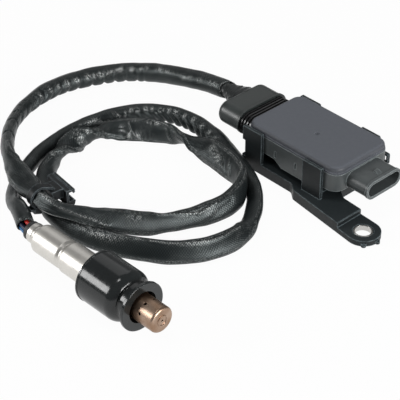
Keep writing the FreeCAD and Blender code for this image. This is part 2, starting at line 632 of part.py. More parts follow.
def mount_bracket():
    bracket = prism(base_outline(), flat(0), V(0, 0, BASE_TOP_Z))
    bracket = bracket.fuse(Part.makeCylinder(EAR_R, EAR_TOP_Z))
    bracket = bracket.cut(box(STEP_X, EAR_R + CUT_PAST, -EAR_R - CUT_PAST, EAR_R + CUT_PAST,
                              EAR_TOP_Z, BASE_TOP_Z + CUT_PAST))
    step = [e for e in bracket.Edges if e.BoundBox.XMin > STEP_X - 0.01 and e.BoundBox.XMax < STEP_X + 0.01
            and e.BoundBox.ZMin > BASE_TOP_Z - 0.01]
    bracket = bracket.makeFillet(STEP_R, step).cut(bottom_hollow())
    far_y = BASE_WIDTH - TOWER_T
    upper = [lug()]
    for x_span, notched in ((REAR_TOWER_X, True), (FRONT_TOWER_X, False)):
        upper += [tower(x_span, 0.0, notched), tower(x_span, far_y, notched)]
        upper += [snap_lip(x_span, TOWER_T, 1), snap_lip(x_span, far_y, -1)]
    for x in SADDLE_X:
        upper.append(box(x - SADDLE_T / 2, x + SADDLE_T / 2, TOWER_T / 2, BASE_WIDTH - TOWER_T / 2,
                         BASE_TOP_Z - TOWER_ROOT, TRAY_BOTTOM_Z))
    for angle in NUB_ANGLES:
        turn = math.radians(angle)
        upper.append(Part.makeCylinder(NUB_R, NUB_H, V(EAR_R * math.cos(turn), EAR_R * math.sin(turn), 0)))
    bore = Part.makeCylinder(BUSH_OUT_R + BUSH_FIT, EAR_TOP_Z + 2 * CUT_PAST, V(0, 0, -CUT_PAST))
    return bracket.fuse(upper).cut(bore).removeSplitter()


def bracket_bushing():
    ring = Part.makeCylinder(BUSH_OUT_R, EAR_TOP_Z)
    ring = ring.cut(Part.makeCylinder(BUSH_BORE_R, EAR_TOP_Z + 2 * CUT_PAST, V(0, 0, -CUT_PAST)))
    return ring.makeChamfer(BUSH_CHAMFER, [e for e in ring.Edges if len(e.Vertexes) == 1])


def turned(points):
    """Solid of revolution round the X axis from (s, r) points; a third value rounds that corner."""
    corners = [(p[0], p[1], p[2] if len(p) > 2 else 0) for p in points]
    profile = Part.Face(rounded_wire(corners, lambda p: V(p.x, p.y, 0)))
    return profile.revolve(V(0, 0, 0), V(1, 0, 0), 360)


def place_probe(shape):
    placed = shape.copy()
    turn = FreeCAD.Rotation(V(0, 0, 1), PROBE_YAW)
    placed.Placement = FreeCAD.Placement(V(*PROBE_START, CAP_BEAD_R), turn).multiply(placed.Placement)
    return placed


def crimp_profile(radius):
    """The collar's crimped groove at this radius, as (s, r) points."""
    start, width, depth = CRIMP
    return [(start, radius), (start + depth, radius - depth), (start + width - depth, radius - depth),
            (start + width, radius)]


def rear_shell():
    collar_in = COLLAR_R - SHEET
    inner = REAR_SHELL_R - SHEET
    lap_end = REAR_SHELL_END + LAP_LENGTH
    outside = [(0, COLLAR_R, COLLAR_EDGE_R)] + crimp_profile(COLLAR_R)
    outside += [(COLLAR_END, COLLAR_R), (COLLAR_END + SHOULDER_DRAFT, REAR_SHELL_R, REAR_SHOULDER_R),
                (REAR_SHELL_END - WAIST_TAPER, REAR_SHELL_R, WAIST_EDGE_R), (REAR_SHELL_END, WAIST_R),
                (lap_end, WAIST_R)]
    inside = [(lap_end, WAIST_R - SHEET), (REAR_SHELL_END, WAIST_R - SHEET),
              (REAR_SHELL_END - WAIST_TAPER, inner), (COLLAR_END + REAR_SHOULDER_R, inner),
              (COLLAR_END + SHEET, collar_in)]
    return turned(outside + inside + crimp_profile(collar_in)[::-1] + [(0, collar_in)])


def front_shell():
    inner = FRONT_SHELL_R - SHEET
    bore = BODY_R + STACK_FIT
    shoulder = FRONT_SHELL_START + WAIST_TAPER
    return turned([(FRONT_SHELL_START, WAIST_R), (FRONT_SHELL_START, WAIST_R + SHEET),
                   (shoulder, FRONT_SHELL_R, WAIST_EDGE_R), (FRONT_SHELL_END, FRONT_SHELL_R, FRONT_EDGE_R),
                   (FRONT_SHELL_END, bore), (FRONT_SHELL_END - SHELL_LIP, bore),
                   (FRONT_SHELL_END - SHELL_LIP, inner), (shoulder, inner)])


def probe_body():
    cone_long, cone_deep = SEAT_CONE
    hole_r = ELEMENT[0] / 2 + ELEMENT_HOLE
    shoulder = SEAT_END - BODY_SHOULDER
    return turned([(BODY_START, BODY_BORE_R), (BODY_START, BODY_R), (SEAT_START, BODY_R), (SEAT_START, SEAT_R),
                   (SEAT_END - cone_long, SEAT_R), (SEAT_END, SEAT_R - cone_deep), (SEAT_END, hole_r),
                   (shoulder, hole_r), (shoulder, BODY_BORE_R)])


def union_screw():
    head_end = UNION_START + HEX_LENGTH
    bore = Part.makeCylinder(BODY_R + UNION_SLACK, UNION_STOP - UNION_START + 2 * CUT_PAST,
                             V(UNION_START - CUT_PAST, 0, 0), V(1, 0, 0))
    turns = [math.radians(60 * i) for i in range(7)]
    points = [V(UNION_START, HEX_CORNER_R * math.cos(a), HEX_CORNER_R * math.sin(a)) for a in turns]
    head = Part.Face(Part.makePolygon(points)).extrude(V(HEX_LENGTH, 0, 0))
    trim = turned([(UNION_START, 0), (UNION_START, HEX_AF / 2), (UNION_START + HEX_CHAMFER, HEX_CORNER_R),
                   (head_end, HEX_CORNER_R), (head_end, 0)])
    shank = turned([(head_end - HEX_CHAMFER, 0), (head_end - HEX_CHAMFER, THREAD_R),
                    (UNION_STOP - THREAD_CHAMFER, THREAD_R), (UNION_STOP, THREAD_R - THREAD_CHAMFER),
                    (UNION_STOP, 0)])
    return head.common(trim).fuse(shank).cut(bore).removeSplitter()


def protective_cap():
    rim = FRONT_SHELL_END - CAP_OVER_SHELL
    bead_end = rim + CAP_BEAD[1]
    step = UNION_START + HEX_LENGTH
    thread_room = THREAD_R + CAP_GRIP
    neck_in = SEAT_R + CAP_NECK_FIT
    neck_r = neck_in + CAP_WALL
    disc = SEAT_END + CAP_DISC_PAST_SEAT
    disc_end = disc + CAP_DISC_T
    hole_r = TIP_R + TIP_FLARE[0] + CAP_DISC_HOLE_FIT
    dome_back, dome_past = CAP_DOME
    return turned([(rim, CAP_MOUTH_R), (rim, CAP_BEAD_R), (bead_end, CAP_BEAD_R), (bead_end, CAP_BODY_R),
                   (SEAT_START - dome_back, CAP_BODY_R, CAP_DOME_R),
                   (SEAT_START + dome_past, neck_r, CAP_NECK_EDGE_R), (disc, neck_r),
                   (disc, CAP_DISC_R, CAP_EDGE_R), (disc_end, CAP_DISC_R, CAP_EDGE_R), (disc_end, hole_r),
                   (disc - CAP_WALL, hole_r), (disc - CAP_WALL, neck_in), (SEAT_START, neck_in),
                   (SEAT_START, thread_room), (step, thread_room), (step, CAP_MOUTH_R)])


def side_holes(count, radius, s, reach):
    cutters = []
    for i in range(count):
        turn = math.radians(360 * (i + 0.5) / count)
        cutters.append(Part.makeCylinder(radius, reach, V(s, 0, 0), V(0, math.cos(turn), math.sin(turn))))
    return cutters


def protection_tube_outer():
    stop = SEAT_END + TIP_LENGTH
    inner = TIP_R - SHEET
    flare, flare_end = TIP_R + TIP_FLARE[0], SEAT_END + TIP_FLARE[1]
    ring_in, ring_out, ring_h = TIP_RING
    tube = turned([(SEAT_END, inner), (SEAT_END, flare), (flare_end, flare), (flare_end + TIP_FLARE_SLOPE, TIP_R),
                   (stop, TIP_R, TIP_EDGE_R), (stop, ring_out), (stop + ring_h, ring_out - TIP_RING_DRAFT),
                   (stop + ring_h, ring_in), (stop, ring_in - TIP_RING_DRAFT), (stop, TIP_END_HOLE_R),
                   (stop - SHEET, TIP_END_HOLE_R), (stop - SHEET, inner, TIP_EDGE_R - SHEET)])
    return tube.cut(side_holes(TIP_HOLE_COUNT, TIP_HOLE_R, SEAT_END + TIP_HOLES_AT, TIP_R + CUT_PAST))


def protection_tube_inner():
    wall, radius = INNER_TUBE_WALL, INNER_TUBE_R
    stop = SEAT_END + INNER_TUBE_LENGTH
    foot = TIP_R - SHEET - INNER_TUBE_FIT
    tube = turned([(SEAT_END, radius - wall), (SEAT_END, foot), (SEAT_END + wall, foot), (SEAT_END + wall, radius),
                   (stop, radius, INNER_EDGE_R), (stop, INNER_END_HOLE_R), (stop - wall, INNER_END_HOLE_R),
                   (stop - wall, radius - wall, INNER_EDGE_R - wall)])
    return tube.cut(side_holes(INNER_HOLE_COUNT, INNER_HOLE_R, SEAT_END + INNER_HOLES_AT, radius + CUT_PAST))


def element_bar(slack=0.0):
    wide, thick = ELEMENT
    return box(ELEMENT_START - slack, ELEMENT_END + slack, -wide / 2 - slack, wide / 2 + slack,
               -thick / 2 - slack, thick / 2 + slack)


def stack_ring(start, stop):
    disc = Part.makeCylinder(BODY_BORE_R - STACK_FIT, stop - start, V(start, 0, 0), V(1, 0, 0))
    return disc.cut(element_bar(ELEMENT_SLACK))


def contact_holder():
    radius = REAR_SHELL_R - SHEET - CONTACT_FIT
    block = Part.makeCylinder(radius, CONTACT_LENGTH, V(CONTACT_START, 0, 0), V(1, 0, 0))
    wide, tall = CONTACT_SLOT
    slot = box(CONTACT_START + CONTACT_BACK, CONTACT_END + CUT_PAST, -wide / 2, wide / 2, -tall / 2, tall / 2)
    bores = [Part.makeCylinder(WIRE_R + WIRE_HOLE, CONTACT_BACK + 2 * CUT_PAST, V(CONTACT_START - CUT_PAST, y, z),
                               V(1, 0, 0)) for y, z in wire_ring()]
    return block.cut([slot] + bores)


def contact_springs():
    start = CONTACT_START + CONTACT_BACK
    grip, grip_end = ELEMENT_START + SPRING_GRIP[0], ELEMENT_START + SPRING_GRIP[1]
    leaves = []
    for level in (-1, 1):
        z = level * (ELEMENT[1] + SPRING_T) / 2
        arm_z = level * (CONTACT_SLOT[1] - SPRING_T) / 2
        low, high = min(z, arm_z) - SPRING_T / 2, max(z, arm_z) + SPRING_T / 2
        for i in (-1, 0, 1):
            y0, y1 = i * SPRING_PITCH - SPRING_W / 2, i * SPRING_PITCH + SPRING_W / 2
            leaf = box(grip, grip_end, y0, y1, z - SPRING_T / 2, z + SPRING_T / 2)
            web = box(grip, grip + SPRING_T, y0, y1, low, high)
            arm = box(start, grip + SPRING_T, y0, y1, arm_z - SPRING_T / 2, arm_z + SPRING_T / 2)
            leaves.append(leaf.fuse([web, arm]).removeSplitter())
    return Part.makeCompound(leaves)


def wire_ring():
    turns = [math.radians(360 * i / len(WIRES) + WIRE_TURN) for i in range(len(WIRES))]
    return [(WIRE_CIRCLE_R * math.cos(a), WIRE_CIRCLE_R * math.sin(a)) for a in turns]


def cable_grommet():
    radius = COLLAR_R - SHEET - GROMMET_FIT
    plug = turned([(-GROMMET_LIP, 0), (-GROMMET_LIP, GROMMET_LIP_R, GROMMET_EDGE_R), (0, GROMMET_LIP_R),
                   (0, radius)] + crimp_profile(radius) + [(GROMMET_END, radius), (GROMMET_END, 0)])
    holes = [Part.makeCylinder(WIRE_R + WIRE_HOLE, GROMMET_END + GROMMET_LIP + 2 * CUT_PAST,
                               V(-GROMMET_LIP - CUT_PAST, y, z), V(1, 0, 0)) for y, z in wire_ring()]
    return plug.cut(holes)


def wire(index):
    """One wire: straight through the grommet, then bent round a vertical axis to the sleeve's mouth."""
    y, z = wire_ring()[index]
    start, stop = -GROMMET_LIP, CONTACT_START + CONTACT_BACK
    straight = Part.makeCylinder(WIRE_R, stop - start, V(start, y, z), V(1, 0, 0))
    disc = Part.Face(Part.Wire(Part.Circle(V(start, y, z), V(1, 0, 0), WIRE_R).toShape()))
    bend = disc.revolve(V(start, WIRE_BEND_R, 0), V(0, 0, 1), -WIRE_BEND)
    return straight.fuse(bend).removeSplitter()


def sleeve_end():
    """The route's last two points: the sleeve ends square to the wires, a small gap short of their bend's end."""
    turn = math.radians(WIRE_BEND)
    bend_end = V(-GROMMET_LIP - WIRE_BEND_R * math.sin(turn), WIRE_BEND_R * (1 - math.cos(turn)), 0)
    away = V(-math.cos(turn), math.sin(turn), 0)
    yaw = FreeCAD.Rotation(V(0, 0, 1), PROBE_YAW)
    return [V(*PROBE_START, CAP_BEAD_R) + yaw.multVec(bend_end + away * reach)
            for reach in (SLEEVE_GAP + SLEEVE_LEAD, SLEEVE_GAP)]


def cable_route():
    """Straight runs joined by tangent arcs through the route's points."""
    points = [V(*p) for p in ROUTE] + sleeve_end()
    edges = []
    radii = []
    last = points[0]
    for i in range(1, len(points) - 1):
        back = points[i - 1] - points[i]
        ahead = points[i + 1] - points[i]
        reach = BEND_SHARE * min(back.Length, ahead.Length)
        back.normalize()
        ahead.normalize()
        half = back.getAngle(ahead) / 2
        radii.append(reach * math.tan(half))
        start = points[i] + back * reach
        stop = points[i] + ahead * reach
        middle = points[i] + (back + ahead).normalize() * (reach / math.cos(half) - radii[-1])
        edges.append(Part.LineSegment(last, start).toShape())
        edges.append(Part.Arc(start, middle, stop).toShape())
        last = stop
    edges.append(Part.LineSegment(last, points[-1]).toShape())
    return Part.Wire(edges), radii


def cable_sleeve():
    path, radii = cable_route()
    first = path.Edges[0]
    start = first.valueAt(first.FirstParameter)
    profile = Part.Wire(Part.Circle(start, first.tangentAt(first.FirstParameter), SLEEVE_R).toShape())
    tube = path.makePipeShell([profile], True, False)
    section = math.pi * SLEEVE_R ** 2
    print("cable length %.1f, least radius %.1f, volume over section %.1f" %
          (path.Length, min(radii), tube.Volume / section))
    print("cable radii", [round(r) for r in radii])
    return tube


def place_tie(shape):
    placed = shape.copy()
    turn = FreeCAD.Rotation(V(0, 0, 1), TIE_YAW)
    placed.Placement = FreeCAD.Placement(V(*TIE_AT), turn).multiply(placed.Placement)
    return placed


def hull_wire(circles, x):
    """Outline round circles (y, z, r), taken anticlockwise, in the plane at x."""
    spans = []
    for i, (y, z, r) in enumerate(circles):
        ny, nz, nr = circles[(i + 1) % len(circles)]
        gap = V(ny - y, nz - z, 0)
        bearing = math.atan2(gap.y, gap.x) - math.acos((r - nr) / gap.Length)
        normal = V(math.cos(bearing), math.sin(bearing), 0)
        spans.append((V(y, z, 0) + normal * r, V(ny, nz, 0) + normal * nr, bearing))
    edges = []
    for i, (y, z, r) in enumerate(circles):
        arrive, leave = spans[i - 1][2], spans[i][2]
        while leave < arrive:
            leave += 2 * math.pi
        middle = (arrive + leave) / 2
        mid_point = V(y + r * math.cos(middle), z + r * math.sin(middle), 0)
        trio = (spans[i - 1][1], mid_point, spans[i][0])
        edges.append(Part.Arc(*[V(x, p.x, p.y) for p in trio]).toShape())
        edges.append(Part.LineSegment(V(x, spans[i][0].x, spans[i][0].y), V(x, spans[i][1].x, spans[i][1].y)).toShape())
    return Part.Wire(edges)


def tie_loop(x, grow):
    reach, rise, corner = TIE_REACH
    circles = [(0, 0, TIE_BORE_R + grow), (reach, -rise, corner + grow), (reach, rise, corner + grow)]
    return Part.Face(hull_wire(circles, x))


def tie_band(width, inside, outside):
    """The tie's loop as a band, from so far inside its inner line to so far outside it."""
    outer, inner = [tie_loop(-width / 2, grow).extrude(V(width, 0, 0)) for grow in (outside, -inside)]
    return outer.cut(inner)


def cable_tie():
    long, wide, tall = TIE_HEAD
    head = box(-long / 2, long / 2, -wide / 2, wide / 2, TIE_BORE_R + TIE_HEAD_GAP, TIE_BORE_R + tall)
    head = head.makeFillet(TIE_HEAD_EDGE_R, [e for e in head.Edges if e.BoundBox.ZMin > TIE_BORE_R + tall - 0.01])
    tail_long, tail_z = TIE_TAIL
    tail = box(-TIE_WIDTH / 2, TIE_WIDTH / 2, wide / 2 - TIE_TAIL_ROOT, wide / 2 + tail_long,
               TIE_BORE_R + tail_z, TIE_BORE_R + tail_z + TIE_T)
    knot = head.fuse(tail)
    knot.rotate(V(0, 0, 0), V(1, 0, 0), TIE_HEAD_ANGLE - 90)
    return place_tie(tie_band(TIE_WIDTH, 0, TIE_T).fuse(knot).removeSplitter())


def clip_profile():
    """The clip's section in (y, z): a top plate with a lip, and a barbed jaw below the mouth."""
    y0, y1 = CLIP_Y
    top, low = CLIP_TOP, CLIP_TOP - CLIP_HEIGHT
    lip, hook, slope = CLIP_LIP
    jaw = top - lip - CLIP_MOUTH
    nose_out, nose = CLIP_NOSE
    barb, barb_deep = BARB
    groove_at, groove, groove_deep = CLIP_GROOVE
    large, middle, small = CLIP_EDGE_R
    barb_y = y1 - BARB_START
    return [(y0, low, large), (y1 - CLIP_FOOT, low, large), (y1 + nose_out, jaw - nose, middle),
            (y1 - nose, jaw, middle), (barb_y, jaw - barb_deep, 0), (barb_y, jaw, 0),
            (barb_y - barb, jaw - barb_deep, 0), (y0 + CLIP_WALL, jaw - barb_deep, small),
            (y0 + CLIP_WALL, top - CLIP_WALL, middle), (y1 - hook, top - CLIP_WALL, small),
            (y1 - hook, top - lip, small), (y1, top - lip + slope, small), (y1, top, middle),
            (y1 - groove_at, top, 0), (y1 - groove_at, top - groove_deep, 0),
            (y1 - groove_at - groove, top - groove_deep, 0), (y1 - groove_at - groove, top, 0), (y0, top, middle)]


def edge_clip():
    x0, x1 = CLIP_X
    clip = prism(clip_profile(), end(x0), V(x1 - x0, 0, 0))
    long, tall = CLIP_BASE
    base = box(-long / 2, long / 2, CLIP_BASE_GAP, CLIP_Y[0] + CLIP_WALL / 2, -tall / 2, tall / 2)
    bore = Part.makeCylinder(TIE_BORE_R, long + 2 * CUT_PAST, V(-long / 2 - CUT_PAST, 0, 0), V(1, 0, 0))
    slot = tie_band(TIE_WIDTH + 2 * CLIP_SLOT_FIT, CLIP_SLOT_FIT, TIE_T + CLIP_SLOT_FIT)
    return place_tie(clip.fuse(base).cut([bore, slot]).removeSplitter())


PIECES = {
    "control_housing": control_housing,
    "housing_lid": housing_lid,
    "lid_seal": lid_seal,
    "circuit_board": circuit_board,
    "board_chips": board_chips,
    "board_capacitors": board_capacitors,
    "connector_pins": connector_pins,
    "cable_boot": cable_boot,
    "boot_seal": boot_seal,
    "boot_wrap": boot_wrap,
    "mount_bracket": mount_bracket,
    "bracket_bushing": bracket_bushing,
    "cable_sleeve": cable_sleeve,
    "cable_tie": cable_tie,
    "edge_clip": edge_clip,
}
PROBE_PIECES = {
    "cable_grommet": cable_grommet,
    "rear_shell": rear_shell,
    "front_shell": front_shell,
    "probe_body": probe_body,
    "union_screw": union_screw,
    "protective_cap": protective_cap,
    "protection_tube_outer": protection_tube_outer,
    "protection_tube_inner": protection_tube_inner,
    "sensing_element": element_bar,
    "contact_holder": contact_holder,
    "contact_springs": contact_springs,
}

os.makedirs("parts", exist_ok=True)
shapes = {name: make() for name, make in PIECES.items()}
shapes.update({name: place_probe(make()) for name, make in PROBE_PIECES.items()})
shapes.update({name: place_probe(stack_ring(start, stop)) for name, start, stop in STACK})
shapes.update({name: place_probe(wire(i)) for i, name in enumerate(WIRES)})
for name, shape in shapes.items():
    print("%-24s solids %d volume %9.1f valid %s" % (name, len(shape.Solids), shape.Volume, shape.isValid()))
    shape.exportStep("parts/%s.step" % name)
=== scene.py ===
import json
import math

import bpy
import numpy as np
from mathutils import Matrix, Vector


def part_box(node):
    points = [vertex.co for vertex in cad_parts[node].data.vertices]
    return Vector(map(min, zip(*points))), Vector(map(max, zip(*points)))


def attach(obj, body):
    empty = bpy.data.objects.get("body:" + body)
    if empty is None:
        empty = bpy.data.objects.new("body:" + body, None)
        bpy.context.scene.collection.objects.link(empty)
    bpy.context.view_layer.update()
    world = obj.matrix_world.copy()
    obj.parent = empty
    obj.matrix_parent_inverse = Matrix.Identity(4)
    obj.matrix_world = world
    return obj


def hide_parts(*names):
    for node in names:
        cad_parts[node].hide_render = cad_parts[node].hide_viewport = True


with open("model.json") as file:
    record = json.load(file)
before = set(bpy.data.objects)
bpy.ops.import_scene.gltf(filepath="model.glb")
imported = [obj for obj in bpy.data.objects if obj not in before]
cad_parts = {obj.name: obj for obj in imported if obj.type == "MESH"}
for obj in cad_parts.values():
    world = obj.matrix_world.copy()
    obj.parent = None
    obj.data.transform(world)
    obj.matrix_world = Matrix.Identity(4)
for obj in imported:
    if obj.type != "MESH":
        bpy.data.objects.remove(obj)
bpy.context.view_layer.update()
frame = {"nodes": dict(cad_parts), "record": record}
MM = 0.001

# Camera: its place (m), how far it looks down and how far round it stands (degrees), and its lens (mm)
CAMERA_PLACE = (0.4084, -0.49732, 0.48424)
CAMERA_DOWN = 35.86
CAMERA_ROUND = 47.15
CAMERA_LENS_MM = 135.0
SENSOR_WIDTH_MM = 36.0

# Lamps: the place that they face (m), then each one's direction from there, distance, size (m) and radiance
AIM = Vector((-0.0827, -0.0417, 0.0))
SOFTBOXES = {
    "left_box": ((-0.583, -0.715, 0.36), 1.1, (0.45, 0.36), 10.4),
    "top_box": ((-0.1, -0.2, 0.97), 1.1, (0.2, 0.2), 11.0),
    "right_box": ((1.0, 0.05, 0.3), 1.2, (0.7, 0.45), 15.0),
    "back_box": ((-0.58, 0.45, 0.68), 1.2, (0.8, 0.7), 0.55),
}
WORLD_LIGHT = 0.22

# Ground: half its width (m), its colour, and the share of it that glows white to the camera
FLOOR_HALF = 3.0
FLOOR_GREY = 0.86
FLOOR_GLOW = 0.96

# Sleeve mesh: rings per route point, points round a ring, and the lowest that the skin may lie (mm)
STEPS = 24
AROUND = 72
FLOOR_GAP = 0.06
# Radius (mm) at which degrees round the skin turn into millimetres, and the girth of its cloth
GIRTH_RADIUS = 5.2
SLEEVE_GIRTH = 33.0
# Slow swells over the skin: height and length (mm)
SWELLS = ((0.12, 28.0), (0.05, 9.0))
# How far a creased edge stands out as a hem (mm)
HEM = 0.55
# Lines of painted highlight beside a creased edge: radians from the edge, width in radians, strength
EDGE_HIGHLIGHT_LINES = ((0.42, 0.08, 1.0), (0.7, 0.07, 0.8))
# Strength of painted highlight: flecks, creases' crests (partly wear) and lines by the hems
GLINT_STRENGTH = 1.6
CREST_HIGHLIGHT_AND_WEAR = 0.6
HEM_HIGHLIGHT = 0.6
# Width of a fleck of painted highlight across the sleeve (mm)
GLINT_WIDTH = 1.4

# Sleeve mouths (mm): how far the first ring runs out, and how deep each lining goes back inside
MOUTH_RUN = 2.0
LINING_START_DEPTH = 4.0
LINING_STOP_DEPTH = 3.5
# Lengths of the cloth at the three rings that each mouth adds, before the line's start and beyond its end
MOUTH_LENGTHS_BEFORE = (-5.0, -2.6, -2.0)
MOUTH_LENGTHS_BEYOND = (2.2, 2.8, 6.0)

# Taped neck (mm): radius, growth across and up at the boot, the tape's pitch, the step where it laps and its
# wrinkles, and how far the neck runs into the sleeve and the boot
NECK_RADIUS = 4.5
NECK_SPREAD = 8.0
NECK_RISE = 2.6
TAPE_PITCH = 4.2
TAPE_LAP = 0.35
TAPE_WRINKLE = 0.16
NECK_IN_SLEEVE = 3.0
NECK_IN_BOOT = 2.5
# Neck mesh: rings, points round a ring, and the girth of its cloth (mm)
NECK_RINGS = 60
NECK_AROUND = 48
NECK_GIRTH = 30.0

# The sleeve's route in millimetres: the part's, moved towards the middle of its outline in the photo
ROUTE = (
    (-136.0, 27.5, 19.0), (-145.9, 27.0, 18.1), (-164.3, 22.7, 16.1), (-184.6, 18.0, 12.4),
    (-203.2, 9.9, 8.2), (-215.9, -3.9, 5.6), (-222.2, -22.4, 5.6), (-222.2, -42.5, 5.7),
    (-215.9, -61.8, 6.0), (-204.6, -78.3, 8.3), (-190.1, -92.1, 11.2), (-173.8, -103.9, 14.1),
    (-155.4, -112.5, 16.4), (-135.8, -117.2, 17.0), (-115.9, -120.7, 17.0), (-99.9, -111.9, 16.2),
    (-86.7, -97.5, 11.4), (-74.9, -80.4, 7.0), (-67.0, -60.6, 5.8), (-60.9, -38.1, 7.0),
    (-69.3, -19.6, 9.9), (-93.0, -14.1, 8.0), (-114.0, -11.6, 7.5), (-134.8, -15.3, 6.8),
    (-152.4, -26.8, 7.2), (-164.3, -45.8, 7.8), (-166.8, -67.5, 7.8), (-159.0, -87.4, 5.6),
    (-144.4, -102.4, 5.1), (-126.9, -112.1, 5.1), (-107.3, -114.4, 5.1), (-87.8, -110.6, 5.1),
    (-69.1, -102.0, 5.1), (-52.1, -89.9, 5.1), (-40.8, -72.5, 5.1), (-38.9, -51.8, 5.1),
    (-47.9, -34.6, 5.1), (-61.6, -19.7, 5.1), (-79.3, -10.1, 5.1), (-98.4, -3.7, 5.1),
    (-117.5, 2.0, 5.1), (-137.4, 4.1, 5.1), (-156.6, -1.1, 5.1), (-170.2, -15.8, 5.1),
    (-176.8, -35.1, 5.1), (-178.4, -55.8, 5.1), (-175.2, -76.1, 5.1), (-167.7, -95.0, 5.1),
    (-156.6, -112.3, 5.3), (-142.2, -124.8, 8.6), (-126.37, -131.03, 14.35), (-115.57, -136.28, 14.35),
)
# The sleeve's section by route point: half width, half height (mm), roll (degrees), crease of its edges and
# flatness of its faces (0 to 1)
SECTION = (
    (0.0, 5.7, 5.4, 0, 0.0, 0), (2.0, 5.8, 5.6, 0, 0.0, 0), (4.0, 5.9, 5.5, 0, 0.0, 0),
    (6.0, 5.8, 5.3, 30, 0.0, 0.1), (7.0, 5.3, 4.7, 50, 0.1, 0.1), (8.0, 5.4, 4.1, 62, 0.2, 0.1),
    (9.5, 5.4, 3.9, 80, 0.2, 0.1), (10.4, 5.4, 3.7, 86, 0.3, 0.1), (11.0, 5.9, 3.6, 50, 0.4, 0.1),
    (11.6, 6.6, 3.5, 22, 0.5, 0.5), (12.1, 6.6, 3.6, 24, 0.5, 0.5), (12.7, 4.7, 4.5, 33, 0.0, 0),
    (13.3, 4.5, 4.4, 40, 0.0, 0.1), (14.0, 4.0, 4.2, 45, 0.0, 0.1), (14.5, 4.7, 4.0, 48, 0.2, 0.2),
    (15.0, 5.9, 3.6, 50, 0.4, 0.6), (15.5, 6.5, 3.4, 52, 0.5, 0.7), (16.1, 6.2, 3.4, 54, 0.5, 0.7),
    (16.6, 5.1, 3.8, 60, 0.3, 0.7), (17.2, 5.4, 3.7, 60, 0.3, 0.7), (17.8, 6.2, 3.4, 62, 0.4, 0.7),
    (18.6, 6.5, 3.3, 66, 0.5, 0.7), (19.2, 6.4, 3.1, 85, 0.6, 0.6), (19.7, 6.8, 3.0, 112, 0.7, 0.3),
    (20.3, 7.0, 2.9, 130, 0.8, 0.3), (21.0, 6.9, 2.9, 137, 0.8, 0.3), (21.5, 6.3, 2.9, 165, 0.7, 0.3),
    (22.0, 6.0, 3.0, 222, 0.7, 0.3), (22.5, 6.0, 3.1, 280, 0.7, 0.3), (23.2, 6.6, 3.1, 306, 0.7, 0.3),
    (23.9, 6.4, 3.1, 318, 0.7, 0.3), (24.3, 6.0, 3.2, 350, 0.7, 0.3), (24.6, 5.9, 3.2, 398, 0.7, 0.3),
    (24.9, 6.0, 3.2, 446, 0.7, 0.3), (25.2, 6.7, 3.1, 486, 0.7, 0.3), (25.5, 6.3, 3.1, 520, 0.7, 0.3),
    (25.85, 5.8, 3.3, 575, 0.6, 0.3), (26.3, 5.8, 3.5, 640, 0.5, 0.3), (27.0, 5.6, 4.0, 685, 0.3, 0.2),
    (28.0, 5.4, 4.4, 725, 0.1, 0.3), (29.0, 5.5, 4.4, 750, 0.2, 0.4), (30.5, 5.9, 4.0, 770, 0.5, 0.8),
    (33.5, 6.1, 3.7, 772, 0.5, 0.8), (34.3, 6.0, 3.6, 768, 0.5, 0.8), (34.8, 5.6, 3.3, 745, 0.4, 0.7),
    (35.4, 5.2, 2.8, 696, 0.4, 0.5), (36.9, 5.0, 2.9, 683, 0.3, 0.2), (38.0, 5.0, 4.8, 695, 0.0, 0),
    (40.0, 5.4, 5.1, 710, 0.0, 0), (43.5, 5.3, 5.0, 720, 0.0, 0), (45.0, 4.6, 4.4, 720, 0.0, 0),
    (48.5, 4.4, 4.1, 720, 0.0, 0), (51.0, 4.8, 4.8, 720, 0.0, 0),
)

